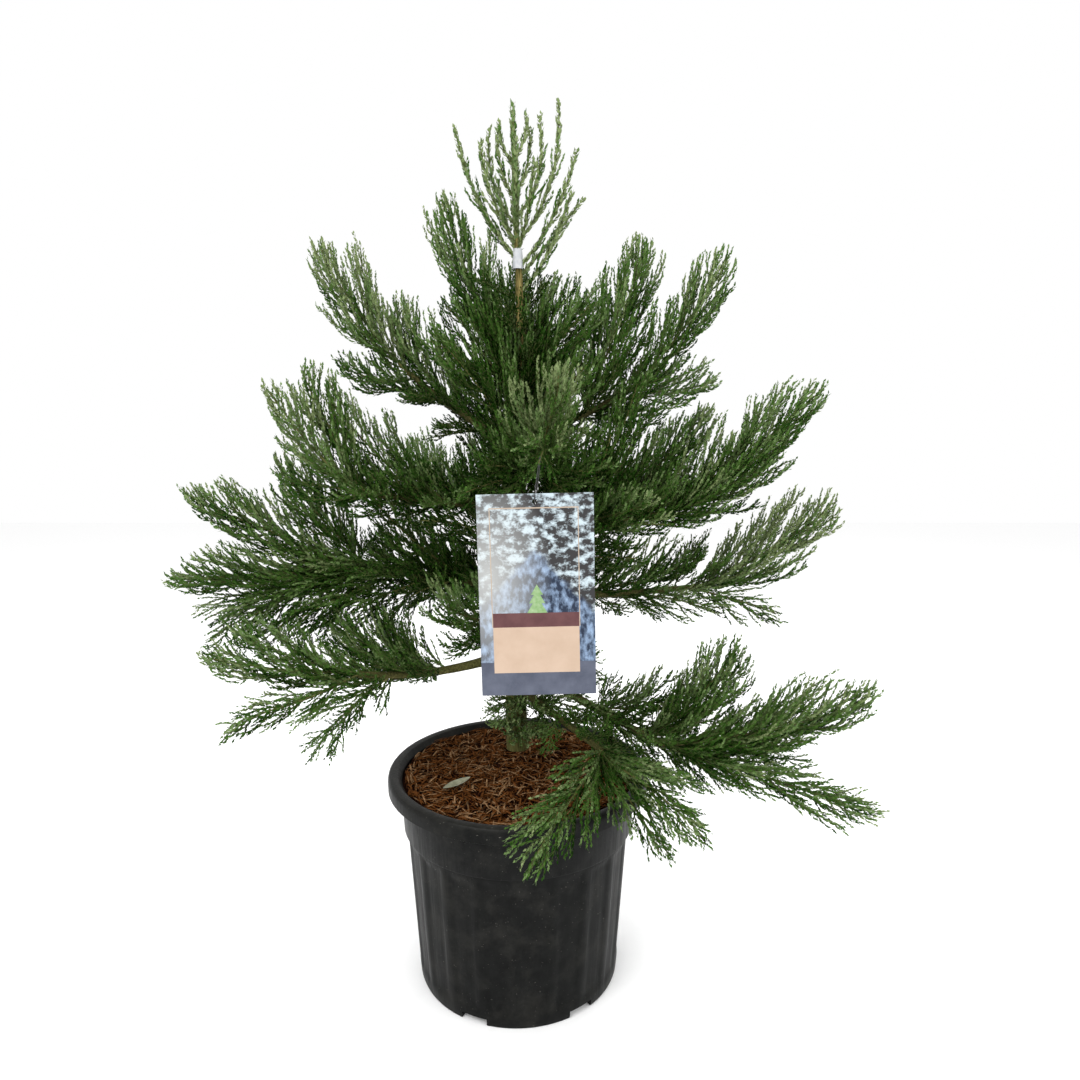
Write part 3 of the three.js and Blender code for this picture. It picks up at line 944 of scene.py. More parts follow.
def grow_along(axis, reach_of, sprays, tint_base, rule, leaf, keep_inside):
    """A leading axis, its long shoots and their side shoots."""
    run = line_length(axis)
    last = len(axis) - 1
    add_shoot(axis, AXIS_CORE, leaf, tint_base, 0)
    turn = dice.uniform(0, ANY_TURN)
    for step in range(sprays):
        share = BARE_SHARE + SHOOT_SPAN * (step + 0.5) / sprays
        turn += GOLDEN
        middle, tangent = station_at(axis, share)
        # in the outer half of the axis the shoots lean forwards more and more
        lean = max(0.0, (share - 0.5) / 0.5) * dice.uniform(0.3, 1.3)
        out = unit(beside(tangent, turn) + tangent * lean)
        reach = reach_of(middle, out, share) * (1.0 if step % 3 else INNER_REACH)
        reach *= dice.uniform(0.72, 1.24)
        finish = middle + out * reach + np.array((0, 0, 0.6 * rule["lift"] * reach))
        if not anywhere_in_box(finish):
            continue
        # a shoot leaves the axis further back the further out it ends
        root_share = share - min(1.25 * reach / run + 0.06, share)
        root = axis[int(root_share * last)]
        root_tangent = unit(axis[min(int(root_share * last) + 1, last)] - root)
        leave = unit(root_tangent + beside(root_tangent, turn) * 0.8)
        line = bent_line(root, leave, finish, 9)
        # painted light and shade: shoots that end high, far out or on the outline take a lighter green,
        # and every third, inner shoot a darker one
        light = 0.9 * out[2] + 0.9 * share + dice.uniform(-0.5, 0.5) + (0.25 if step % 3 else -0.4)
        tint = within_greens(tint_base + (1 if light > 0.95 else 0) - (1 if light < 0.15 else 0))
        if add_shoot(line, LONG_CORE, leaf, tint, 1):
            grow_side_shoots(line, tint, 2, rule, keep_inside, leaf * SIDE_LEAF_SHARE)


def grow_plume(name, sprays, tint_base, rule, leaf):
    """Fill one solid with a plume."""
    surface = plume_surface(name)

    def reach_of(middle, out, share):
        """Distance from the axis to the solid's outer surface."""
        hit = surface.ray_cast(Vector(middle + out * LOOK_IN), Vector(-out), LOOK_IN)
        return LOOK_IN - hit[3] if hit[0] else 0.02
    keep_inside = inside_test(surface, SOLID_MARGIN)
    grow_along(plume_axis(name), reach_of, sprays, tint_base, rule, leaf, keep_inside)


print("plumes can grow")

# %% [markdown]
# The number of long shoots goes by the size of the solid, so that a small plume is as closely set as a
# large one. The leader's two solids are left out here: they are filled by single whips further down.
# Colour goes by where a plume stands: a darker green as painted shade in the middle of the crown and a
# lighter one as painted light on its outside.

# %% Grow all plumes
def box_area(name):
    """Half the surface of a node's box, as a measure of its size."""
    low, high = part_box(name)
    size = high - low
    return size.x * size.y + size.y * size.z + size.z * size.x


areas = {name: box_area(name) for name in foliage_nodes}
mean_area = sum(areas.values()) / len(areas)
LONG_SHOOTS = 42
# plumes in the middle and back of the crown take a darker green as painted shade, those at its front and
# outside a lighter one as painted light
shaded_plumes = ("upper_left_low", "back_crown", "shoulder_back", "right_core", "left_core")
lit_plumes = ("front_crown", "upper_left", "mid_left_outer", "right_outer")
for name in foliage_nodes:
    share = (areas[name] / mean_area) ** 0.75
    sprays = max(14, round(LONG_SHOOTS * share))
    tint = DEEP if name in shaded_plumes else MID
    if name in lit_plumes:
        tint = LIGHT
    hangs = "droop" in name or "under" in name or "low_front" in name
    if not name.startswith("leader"):
        grow_plume(name, sprays, tint, DROOP_RULE if hangs else SIDE_RULE, PLUME_LEAF)
print("shoots grown:", len(shoots), "metres:", round(sum(line_length(s.line) for s in shoots), 1))

# %% [markdown]
# Between the plumes the limbs are not bare. Short feathery shoots stand along every bough, the trunk
# carries a few more inside the crown, and a handful of low ones lean out over the pot's rim.

# %% Free sprays along the limbs
def grow_spray(root, heading, rise, length, droop, tint, pairs):
    """A small spray: a bent axis with side shoots right and left, and shoots on those."""
    out = pointing(math.radians(heading), math.radians(rise))
    root = np.array(root, float)
    finish = root + out * length - np.array((0, 0, droop * length))
    axis = bent_line(root, out, finish, 10)
    last = len(axis) - 1
    add_shoot(axis, SPRAY_CORE, SPRAY_LEAF, tint, 1)
    for step in range(pairs * 2):
        share = 0.12 + 0.8 * step / (pairs * 2)
        base = axis[int(share * last)]
        tangent = unit(axis[min(int(share * last) + 1, last)] - base)
        side = unit(np.cross(tangent, (0, 0, 1)) + 1e-6) * (1 if step % 2 else -1)
        away = unit(tangent * 0.8 + side * 0.62 + np.array((0, 0, dice.uniform(-0.2, 0.25))))
        reach = length * (0.52 - 0.36 * share) * dice.uniform(0.8, 1.15)
        line = bent_line(base, away, base + unit(away + tangent * 0.5) * reach, 6)
        if anywhere_in_box(line[-1]) and add_shoot(line, SPRAY_SIDE_CORE, SPRAY_LEAF, tint, 1):
            grow_side_shoots(line, tint, 2, SIDE_RULE, anywhere_in_box, SPRAY_LEAF * SIDE_LEAF_SHARE)


SPRAY_PITCH = 17 * MM
before = len(shoots)
for name in bough_nodes:
    run = limb_runs[name]
    line = smooth_run([station[0] for station in run], 40)
    length = line_length(line)
    heading = math.degrees(math.atan2(*(line[-1] - line[0])[[1, 0]]))
    bare = 0.45 if "low" in name else 0.10
    steps = max(3, int(length * (1 - bare) / SPRAY_PITCH))
    for step in range(steps):
        share = bare + (0.98 - bare) * (step + 0.5) / steps
        base = line[int(share * (len(line) - 1))]
        side = 1 if step % 2 else -1
        # painted shade: sprays near the trunk take the shade green, the others deep or mid
        grow_spray(base, heading + side * dice.uniform(25, 70), dice.uniform(-25, 55),
                   dice.uniform(0.06, 0.125), dice.uniform(-0.1, 0.15),
                   SHADE if share < 0.35 else DEEP if step % 3 else MID, pairs=5)
print("bough sprays:", len(shoots) - before)

# %% [markdown]
# Where two plumes leave too much sky, the plant closes the gap with younger plumes that stand on the
# same limbs. Each is given by its limb, how far along it stands, where its tip reaches, and its width.

# %% Younger plumes between the large ones
def grow_young_plume(limb, share, tip, width, tint, sprays=20):
    """A plume with a plain spindle outline, from a place on a limb to a tip."""
    run = smooth_run([station[0] for station in limb_runs[limb]], 60)
    root = run[int(share * (len(run) - 1))]
    tip = np.array(tip, float)
    away = unit(unit(tip - root) + 0.35 * unit(run[-1] - run[0]))
    axis = bent_line(root, away, tip, 20)

    def reach_of(middle, out, along):
        """Radius of the spindle."""
        return width * math.sin(math.pi * min(1.0, 0.15 + 0.8 * along) ** 1.2) + 0.008
    rule = SIDE_RULE if tip[2] > root[2] else DROOP_RULE
    grow_along(axis, reach_of, sprays, tint, rule, YOUNG_LEAF, anywhere_in_box)


before = len(shoots)
# limb, share of the way along it, tip in metres, half width in metres, green
# the greens are darker for plumes deep in the crown, as painted shade, and lighter on its outside, as
# painted light
young_plumes = [
    ("trunk", 0.56, (-0.11, 0.03, 1.03), 0.050, DEEP),
    ("trunk", 0.60, (-0.06, 0.03, 1.04), 0.045, DEEP),
    ("trunk", 0.57, (0.075, 0.03, 1.06), 0.050, DEEP),
    ("trunk", 0.60, (0.13, 0.05, 1.04), 0.050, MID),
    ("trunk", 0.50, (-0.09, -0.10, 0.95), 0.050, DEEP),
    ("trunk", 0.50, (0.10, -0.10, 0.93), 0.055, DEEP),
    ("trunk", 0.58, (-0.13, -0.02, 0.97), 0.045, DEEP),
    ("trunk", 0.58, (0.11, -0.04, 1.02), 0.045, DEEP),
    ("trunk", 0.46, (0.08, 0.12, 0.92), 0.050, SHADE),
    ("trunk", 0.46, (-0.09, 0.12, 0.92), 0.050, SHADE),
    ("trunk", 0.34, (-0.13, -0.10, 0.72), 0.050, SHADE),
    ("trunk", 0.36, (0.12, -0.10, 0.74), 0.050, SHADE),
    ("trunk", 0.25, (-0.12, 0.06, 0.62), 0.045, SHADE),
    ("bough_mid_left", 0.55, (-0.26, -0.06, 0.89), 0.035, MID),
    ("bough_mid_left", 0.50, (-0.26, -0.05, 0.75), 0.045, DEEP),
    ("bough_mid_left", 0.80, (-0.34, 0.00, 0.77), 0.045, DEEP),
    ("bough_left", 0.30, (-0.21, -0.10, 0.77), 0.045, DEEP),
    ("bough_left", 0.35, (-0.14, -0.13, 0.62), 0.045, SHADE),
    ("bough_left", 0.50, (-0.23, -0.10, 0.59), 0.050, DEEP),
    ("bough_left", 0.70, (-0.32, -0.08, 0.57), 0.050, DEEP),
    ("bough_left", 0.90, (-0.41, -0.05, 0.56), 0.050, MID),
    ("bough_left", 1.00, (-0.47, -0.02, 0.56), 0.045, MID),
    ("bough_left", 1.00, (-0.46, -0.03, 0.53), 0.035, MID),
    ("bough_left", 0.85, (-0.38, -0.05, 0.53), 0.040, DEEP),
    ("bough_low_left", 0.95, (-0.42, -0.04, 0.55), 0.035, DEEP),
    ("bough_low_left", 0.60, (-0.27, -0.04, 0.56), 0.045, DEEP),
    ("bough_low_left", 0.80, (-0.30, -0.06, 0.37), 0.035, MID),
    ("bough_mid_right", 0.30, (0.17, -0.05, 0.91), 0.050, DEEP),
    ("bough_mid_right", 0.30, (0.13, -0.10, 0.84), 0.045, DEEP),
    ("bough_mid_right", 0.60, (0.26, 0.00, 0.73), 0.045, DEEP),
    ("bough_mid_right", 0.90, (0.34, -0.03, 0.76), 0.045, MID),
    ("bough_mid_right", 1.00, (0.40, -0.02, 0.80), 0.045, MID),
    ("bough_mid_right", 0.80, (0.37, -0.06, 0.84), 0.045, MID),
    ("bough_mid_right", 0.45, (0.18, -0.02, 0.87), 0.045, DEEP),
    ("bough_right", 0.60, (0.30, -0.05, 0.585), 0.020, MID),
    ("bough_right", 0.95, (0.39, -0.02, 0.57), 0.018, MID),
    ("bough_low_right", 0.60, (0.22, -0.12, 0.34), 0.040, MID),
    ("bough_low_right", 0.80, (0.31, -0.05, 0.33), 0.040, MID),
    ("bough_low_right", 0.90, (0.34, 0.00, 0.49), 0.035, MID),
    ("bough_low_right", 1.00, (0.45, -0.02, 0.39), 0.045, MID),
    ("bough_low_right", 1.00, (0.43, 0.02, 0.34), 0.035, MID),
    ("bough_low_right", 1.00, (0.46, -0.02, 0.42), 0.040, MID),
    ("bough_low_front", 0.90, (0.19, -0.22, 0.30), 0.030, MID),
    ("trunk", 0.10, (0.13, -0.11, 0.43), 0.035, MID),
    ("bough_front", 0.40, (-0.04, -0.21, 0.80), 0.040, DEEP),
    ("bough_front", 0.70, (0.03, -0.23, 0.81), 0.040, MID),
    ("bough_front", 0.50, (0.10, -0.20, 0.79), 0.045, DEEP),
    ("trunk", 0.30, (0.17, -0.12, 0.67), 0.045, SHADE),
    ("bough_mid_left", 0.25, (-0.13, -0.03, 0.78), 0.035, SHADE),
    ("bough_front", 0.30, (-0.06, -0.20, 0.765), 0.030, DEEP),
    ("bough_front", 0.30, (0.07, -0.20, 0.765), 0.030, DEEP),
    ("trunk", 0.33, (0.205, -0.15, 0.72), 0.035, MID),
]
for young in young_plumes:
    grow_young_plume(*young)
print("young plumes:", len(young_plumes), "shoots:", len(shoots) - before)

# %% The twig that carries the hang tag
tag_low, tag_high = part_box("hang_tag")
tag_wide = 130 * MM
tag_tall = 230 * MM
tag_turn = math.radians(1.3)
tag_top = Vector(((tag_low.x + tag_high.x - tag_tall * math.sin(tag_turn)) / 2,
                  (tag_low.y + tag_high.y) / 2, tag_high.z - tag_wide / 2 * math.sin(tag_turn)))
twig_tip = (tag_top.x + 0.004, tag_top.y - 0.004, tag_top.z + 0.032)
front_end = limb_runs["bough_front"][-1][0]
tag_twig = bent_line(front_end, (0.1, -0.95, 0.3), twig_tip, 20)
grow_along(tag_twig, lambda middle, out, along: 0.028, 16, MID, DROOP_RULE, YOUNG_LEAF, anywhere_in_box)
print("tag twig runs", round(line_length(tag_twig), 3), "m")

# %% Sprays on the trunk, inside the crown and at its foot
before = len(shoots)
trunk_line = smooth_run([station[0] for station in trunk_run], 80)


def on_trunk(height):
    """The middle of the trunk at a height in metres."""
    return trunk_line[int(np.argmin(abs(trunk_line[:, 2] - height)))]


tie_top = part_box("leader_tie")[1].z
crown_sprays = 46
crown_foot, crown_span = 0.56, 0.46
turn = 20
for step in range(crown_sprays):
    height = crown_foot + crown_span * step / (crown_sprays - 1)
    turn += GOLDEN_DEGREES
    # painted shade: sprays on the trunk inside the crown take the shade and deep greens
    grow_spray(on_trunk(height), turn, dice.uniform(15, 55), dice.uniform(0.06, 0.12), 0.03,
               SHADE if step % 3 else DEEP, pairs=5)
# height, heading, rise and length of each
foot_sprays = [(0.40, -70, 20, 0.12), (0.43, -100, 10, 0.11), (0.46, -40, 25, 0.15),
               (0.48, -20, 10, 0.14), (0.50, -75, 5, 0.13), (0.53, -30, 0, 0.16),
               (0.37, -50, 35, 0.09), (0.39, -120, 30, 0.07), (0.42, -60, 25, 0.13),
               (0.44, -110, 15, 0.10), (0.38, -85, 25, 0.10)]
for height, heading, rise, length in foot_sprays:
    # painted light: foot sprays that point to the front take the light green, the others the mid green
    grow_spray(on_trunk(height), heading, rise, length, 0.25, LIGHT if heading < -45 else MID, pairs=6)
print("trunk sprays:", len(shoots) - before)

# %% [markdown]
# The leader is this year's growth: stout whips that stand up steeply from the trunk, each with short
# side shoots held close to it. They are set one by one, by height, heading, rise and length.

# %% Whips of the leader
WHIP_RULE = {"pitch": 0.0125, "angle": 27, "most": 0.040, "least": 0.010, "share": 0.26, "lift": 0.14}
# height, heading, rise and length of each
whips = [(1.075, 180, 64, 0.200), (1.130, 180, 74, 0.135), (1.140, 10, 76, 0.140),
         (1.100, 5, 73, 0.200), (1.070, 0, 63, 0.180), (1.060, 10, 50, 0.145),
         (1.030, 0, 62, 0.155), (1.100, 200, 68, 0.140), (1.085, 160, 55, 0.120),
         (1.120, -90, 72, 0.120), (1.120, 90, 70, 0.130), (1.090, -60, 66, 0.120),
         (1.090, 120, 62, 0.130), (1.160, -150, 72, 0.090), (1.170, 40, 74, 0.095),
         (1.205, 180, 70, 0.062), (1.215, 20, 72, 0.060)]

for height, heading, rise, length in whips:
    root = on_trunk(height)
    turn = math.radians(heading)
    out = pointing(turn, math.radians(rise))
    spread = np.array((math.cos(turn), math.sin(turn), 1.1))
    whip = bent_line(root, unit(spread), root + out * length, 12)
    add_shoot(whip, WHIP_CORE, WHIP_LEAF, FRESH, 1)
    grow_side_shoots(whip, LIGHT, 2, WHIP_RULE, anywhere_in_box, WHIP_SIDE_LEAF)
leader_axis = trunk_line[trunk_line[:, 2] > tie_top + 0.002]
leader_tip = (leader_axis[-1][0], leader_axis[-1][1], trunk_high.z - 0.004)
leader_axis = np.vstack([leader_axis, leader_tip])
half_way = len(leader_axis) // 2
for part, core in zip((leader_axis[:half_way + 1], leader_axis[half_way:]), LEADER_CORES):
    add_shoot(part, core, 0.0095, LIGHT, 1)
    add_shoot(part, core, 0.0090, FRESH, 1)
grow_side_shoots(leader_axis, LIGHT, 2, WHIP_RULE, anywhere_in_box, WHIP_SIDE_LEAF)
print("whips:", len(whips))

# %% [markdown]
# ## Leaves and twigs as plain meshes
# Each leaf is a narrow kite folded along its middle: four corners and two faces. It clasps the shoot
# at its foot and its tip stands away at a low angle, turned about a third of a circle from the last one.
# The kites of one tint are written together, straight from arrays, into one joined mesh.

# %% Leaves of one shoot
grain = np.random.default_rng(41)
LEAF_TURN = math.radians(134)
LEAF_LEAN = 19            # degrees from the shoot
STOUT_LEAN = 26
LEAF_PITCH = 0.0025       # metres along the shoot from one leaf to the next
LEAF_WIDTH = 0.0027       # metres, for a leaf of the length below
LEAF_LENGTH = 0.0056
STOUT = 0.0022            # a shoot with a thicker core than this has closer leaves that stand out more


def frames_along(line, spots):
    """Places and unit tangents at distances along a line."""
    steps = np.diff(line, axis=0)
    lengths = np.maximum(np.linalg.norm(steps, axis=1), 1e-9)
    gone = np.r_[0, np.cumsum(lengths)]
    index = np.clip(np.searchsorted(gone, spots, side="right") - 1, 0, len(steps) - 1)
    local = ((spots - gone[index]) / lengths[index])[:, None]
    places = line[index] + steps[index] * local
    tangents = steps[index] / lengths[index][:, None]
    return places, tangents


def shoot_leaves(line, thick, leaf, order):
    """Corner places of all leaves on one shoot, four to a leaf."""
    total = line_length(line)
    stout = thick > STOUT
    pitch = LEAF_PITCH * (0.7 if stout else 1.15 if order < 2 else 1.0)
    start = 0.35 * total if order == 0 else 0.0
    count = max(3, int((total - start) / pitch))
    spots = start + (np.arange(count) + 0.5) * (total - start) / count
    places, along = frames_along(line, spots)
    side = np.cross(along, (0.03, 0.02, 1.0))
    side /= np.linalg.norm(side, axis=1)[:, None]
    over = np.cross(side, along)
    turn = np.arange(count) * LEAF_TURN + grain.uniform(0, 6.28) + grain.normal(0, 0.2, count)
    out = side * np.cos(turn)[:, None] + over * np.sin(turn)[:, None]
    lean = np.radians(grain.normal(STOUT_LEAN if stout else LEAF_LEAN, 5, count))[:, None]
    size = leaf * grain.uniform(0.85, 1.15, count)[:, None]
    size *= (1 - 0.3 * (spots / total) ** 4)[:, None]
    heading = along * np.cos(lean) + out * np.sin(lean)
    across = np.cross(along, out)
    foot = places + out * thick * 0.6
    wide = across * LEAF_WIDTH * 0.5 * (leaf / LEAF_LENGTH)
    middle = foot + heading * size * 0.35 - out * 0.0003
    tip = foot + heading * size - out * size * 0.06
    corners = np.stack([foot, middle + wide, tip, middle - wide], axis=1)
    return corners.reshape(-1, 3)


sample = shoot_leaves(shoots[5].line, 0.001, LEAF_LENGTH, 1)
print("one shoot carries", len(sample) // 4, "leaves")

# %% Write a joined mesh from corner and face arrays
def joined_mesh(name, corners, faces):
    """A mesh object from an array of corners and an array of equal-sided faces."""
    mesh = bpy.data.meshes.new(name)
    sides = faces.shape[1]
    mesh.vertices.add(len(corners))
    mesh.vertices.foreach_set("co", corners.astype(np.float32).ravel())
    mesh.loops.add(faces.size)
    mesh.loops.foreach_set("vertex_index", faces.astype(np.int32).ravel())
    mesh.polygons.add(len(faces))
    mesh.polygons.foreach_set("loop_start", np.arange(0, faces.size, sides, dtype=np.int32))
    mesh.update(calc_edges=True)
    mesh.validate()
    piece = bpy.data.objects.new(name, mesh)
    bpy.context.scene.collection.objects.link(piece)
    return piece


leaf_corners = {}
for line, thick, leaf, tint, order in shoots:
    leaf_corners.setdefault(tint, []).append(shoot_leaves(line, thick, leaf, order))
kite = np.array(((0, 1, 2), (0, 2, 3)))
leaf_pieces = []
PIECE_LEAVES = 95000      # two faces each, so a piece stays under 200,000 triangles
for tint in sorted(leaf_corners):
    corners = np.concatenate(leaf_corners[tint])
    leaves = len(corners) // 4
    parts = max(1, math.ceil(leaves / PIECE_LEAVES))
    for part in range(parts):
        first, last = part * leaves // parts, (part + 1) * leaves // parts
        faces = (np.arange(last - first)[:, None, None] * 4 + kite).reshape(-1, 3)
        piece = joined_mesh(f"leaves_{tint}_{part}", corners[first * 4:last * 4], faces)
        leaf_pieces.append((tint, piece))
print("leaf faces:", sum(len(piece.data.polygons) for _, piece in leaf_pieces))

# %% Twigs: three-sided tubes under the leaves
def twig_tube(line, thick):
    """Corners and faces of a three-sided tube along a line, drawn to a point at its end."""
    tangents = np.gradient(line, axis=0)
    tangents /= np.maximum(np.linalg.norm(tangents, axis=1), 1e-9)[:, None]
    side = np.cross(tangents, (0.03, 0.02, 1.0))
    side /= np.linalg.norm(side, axis=1)[:, None]
    over = np.cross(side, tangents)
    radius = thick * np.linspace(1, 0.4, len(line))
    rings = []
    for corner in range(3):
        turn = corner * 2 * math.pi / 3
        rings.append(line + (side * math.cos(turn) + over * math.sin(turn)) * radius[:, None])
    corners = np.stack(rings, axis=1)[:-1].reshape(-1, 3)
    tip = len(corners)
    faces = []
    for ring in range(len(line) - 2):
        for corner in range(3):
            after = (corner + 1) % 3
            low, high = ring * 3, ring * 3 + 3
            faces.append((low + corner, high + corner, low + after))
            faces.append((low + after, high + corner, high + after))
    for corner in range(3):
        faces.append((tip - 3 + corner, tip, tip - 3 + (corner + 1) % 3))
    return np.vstack([corners, line[-1]]), np.array(faces)


def thinned(line, order):
    """Fewer points for a shorter shoot."""
    if order < 2:
        return line[:: 2] if len(line) % 2 else np.vstack([line[:-1:2], line[-1]])
    return line[[0, len(line) // 2, -1]] if line_length(line) > 0.022 else line[[0, -1]]


def twig_piece(name, kept):
    """One joined mesh of all twigs of a kind."""
    corners, faces, base = [], [], 0
    for line, thick, _, _, order in kept:
        tube, sides = twig_tube(thinned(line, order), thick)
        corners.append(tube)
        faces.append(sides + base)
        base += len(tube)
    return joined_mesh(name, np.concatenate(corners), np.concatenate(faces))


woody = [shoot for shoot in shoots if shoot.order == 0]
green = [shoot for shoot in shoots if shoot.order > 0]
green_faces = sum(6 * len(thinned(shoot.line, shoot.order)) - 9 for shoot in green)
PIECE_TWIG_FACES = 180000
green_parts = 1 + green_faces // PIECE_TWIG_FACES
twig_pieces = [twig_piece("twigs_woody", woody)]
for part in range(green_parts):
    kept = green[part * len(green) // green_parts:(part + 1) * len(green) // green_parts]
    twig_pieces.append(twig_piece(f"twigs_green_{part}", kept))
print("twig faces:", sum(len(piece.data.polygons) for piece in twig_pieces))

# %% [markdown]
# Leaf colour is dealt out by spray: every shoot carries one of five greens, and each green is one
# material. Dealt by place, the darker greens paint shade inside the crown and the lighter ones paint
# light on its outside. A fine mottle breaks the flat colour, and a soft sheen gives the waxy bloom of
# the leaf.

# %% Leaf and twig finishes
# a name, two colours and a specular level for each green; the darker greens, with less specular, are
# painted shade and the lighter ones painted light
leaf_greens = {
    SHADE: ("shade", (0.003, 0.014, 0.0005), (0.010, 0.033, 0.003), 0.02),
    DEEP: ("deep", (0.009, 0.036, 0.002), (0.024, 0.068, 0.008), 0.03),
    MID: ("mid", (0.028, 0.078, 0.008), (0.066, 0.130, 0.025), 0.06),
    LIGHT: ("light", (0.074, 0.136, 0.034), (0.135, 0.205, 0.072), 0.12),
    FRESH: ("fresh", (0.130, 0.180, 0.066), (0.195, 0.245, 0.108), 0.12),
}
leaf_finish = {}
for tint, (name, dark, light, wax) in leaf_greens.items():
    leaf_finish[tint] = mottled_material(f"leaf_{name}", dark, light, 90, 0.5, relief=0.1, sheen=wax)
twig_green = mottled_material("twig_green", (0.045, 0.065, 0.016), (0.10, 0.12, 0.04), 160, 0.6,
                              sheen=0.10)
axis_olive = mottled_material("axis_olive", (0.06, 0.062, 0.016), (0.15, 0.15, 0.05), 120, 0.6,
                              sheen=0.12)
for index, (tint, piece) in enumerate(leaf_pieces):
    hand_over(piece, "foliage", leaf_finish[tint], *(() if index else foliage_nodes))
hand_over(twig_pieces[0], "foliage", axis_olive)
for piece in twig_pieces[1:]:
    hand_over(piece, "foliage", twig_green)

# %% [markdown]
# ## Shredded bark mulch
# The pot is topped with shredded bark: red-brown splinters, and finer hairs, lying every way. A low
# mound in the darkest mulch colour shows between them, as painted shade in the gaps. Each splinter is a
# bent sliver, four-sided and pointed at both ends.

# %% The mound
soil_radius = (soil_high.x - soil_low.x) / 2
soil_edge = soil_high.z - 12 * MM
clear_selection()
bpy.ops.mesh.primitive_circle_add(vertices=96, radius=soil_radius, fill_type="NGON",
                                  location=(0, 0, soil_edge))
mound = named("mulch_mound")
settle(mound)
edit_all(mound, "FACE")
mound_rings = 14
for ring in range(mound_rings):
    bpy.ops.mesh.inset(thickness=soil_radius / (mound_rings + 1.5))
clear_selection()


MOUND_RISE = 11 * MM
LUMP_RISE = 3.2 * MM
LUMPS_PER_METRE = 32


def mound_height(x, y):
    """Height of the lumpy ground at a place."""
    swell = 1 - min(1.0, math.hypot(x, y) / soil_radius)
    lump = noise.noise(Vector((x * LUMPS_PER_METRE, y * LUMPS_PER_METRE, 3.1)))
    return soil_edge + MOUND_RISE * swell ** 0.7 + LUMP_RISE * lump


for vertex in mound.data.vertices:
    vertex.co.z = mound_height(vertex.co.x, vertex.co.y) - 1.5 * MM
edit_all(mound)
bpy.ops.mesh.quads_convert_to_tris()
clear_selection()
print("mound corners", len(mound.data.vertices))

# %% Splinters and hairs
def sliver(place, heading, tilt, length, width, thick, bow):
    """Ten corners of a bent, pointed sliver: its two ends and two rings of four between them."""
    along = pointing(heading, tilt)
    side = np.array((-math.sin(heading), math.cos(heading), 0.0))
    over = np.cross(along, side)
    one = place - along * length * 0.22 + over * bow
    two = place + along * length * 0.22 + over * bow
    return np.array([
        place - along * length * 0.5,
        one + side * width, one + over * thick, one - side * width, one - over * thick,
        two + side * width, two + over * thick, two - side * width, two - over * thick,
        place + along * length * 0.5])


sliver_faces = []
for corner in range(4):
    after = (corner + 1) % 4
    sliver_faces += [(0, 1 + after, 1 + corner), (9, 5 + corner, 5 + after),
                     (1 + corner, 1 + after, 5 + after), (1 + corner, 5 + after, 5 + corner)]
sliver_faces = np.array(sliver_faces)


def scatter_slivers(name, count, long, wide, thick, lift):
    """One joined mesh of slivers lying on the mound."""
    corners = []
    for _ in range(count):
        reach = soil_radius * math.sqrt(dice.uniform(0.0, 0.985)) * 0.985
        turn = dice.uniform(0, 2 * math.pi)
        x, y = reach * math.cos(turn), reach * math.sin(turn)
        length = long * dice.uniform(0.5, 1.5)
        heading = dice.uniform(0, 2 * math.pi)
        near_edge = min(1.0, (soil_radius - reach) / length)
        if near_edge < 0.55:
            heading = turn + math.pi / 2 + dice.uniform(-0.35, 0.35)
        place = np.array((x, y, mound_height(x, y) + lift * dice.uniform(-0.5, 1.0)))
        tilt = math.radians(dice.gauss(0, 14)) * near_edge
        corners.append(sliver(place, heading, tilt, length, wide * dice.uniform(0.5, 1.6),
                              thick * dice.uniform(0.6, 1.3), dice.uniform(-0.06, 0.10) * length))
    faces = (np.arange(count)[:, None, None] * 10 + sliver_faces).reshape(-1, 3)
    return joined_mesh(name, np.concatenate(corners), faces)


mulch_tints = {
    "dark": ((0.007, 0.002, 0.001), (0.024, 0.007, 0.003)),
    "red": ((0.068, 0.022, 0.005), (0.180, 0.068, 0.019)),
    "tan": ((0.170, 0.090, 0.036), (0.340, 0.205, 0.110)),
}
mulch_finish = {}
for name, (dark, light) in mulch_tints.items():
    mulch_finish[name] = mottled_material("mulch_" + name, dark, light, 240, 0.9, relief=0.5, sheen=0.02)
# the mound takes the darkest mulch colour, as painted shade in the gaps between the splinters
hand_over(mound, "bark_mulch", mulch_finish["dark"], "soil")
# name, tint, count, then length, width, thickness and lift in metres
sliver_kinds = [
    ("splinters_dark", "dark", 1700, 0.020, 0.0014, 0.0007, 0.003),
    ("splinters_red", "red", 2000, 0.021, 0.0013, 0.0006, 0.005),
    ("hairs_red", "red", 1600, 0.030, 0.00045, 0.0003, 0.008),
    ("splinters_tan", "tan", 1300, 0.022, 0.0010, 0.0005, 0.0065),
]
for name, tint, *sizes in sliver_kinds:
    hand_over(scatter_slivers(name, *sizes), "bark_mulch", mulch_finish[tint])

# %% [markdown]
# A fallen willow-shaped leaf, dry and grey-green, lies on the mulch. It is a plane cut into a lens
# and creased along its middle.

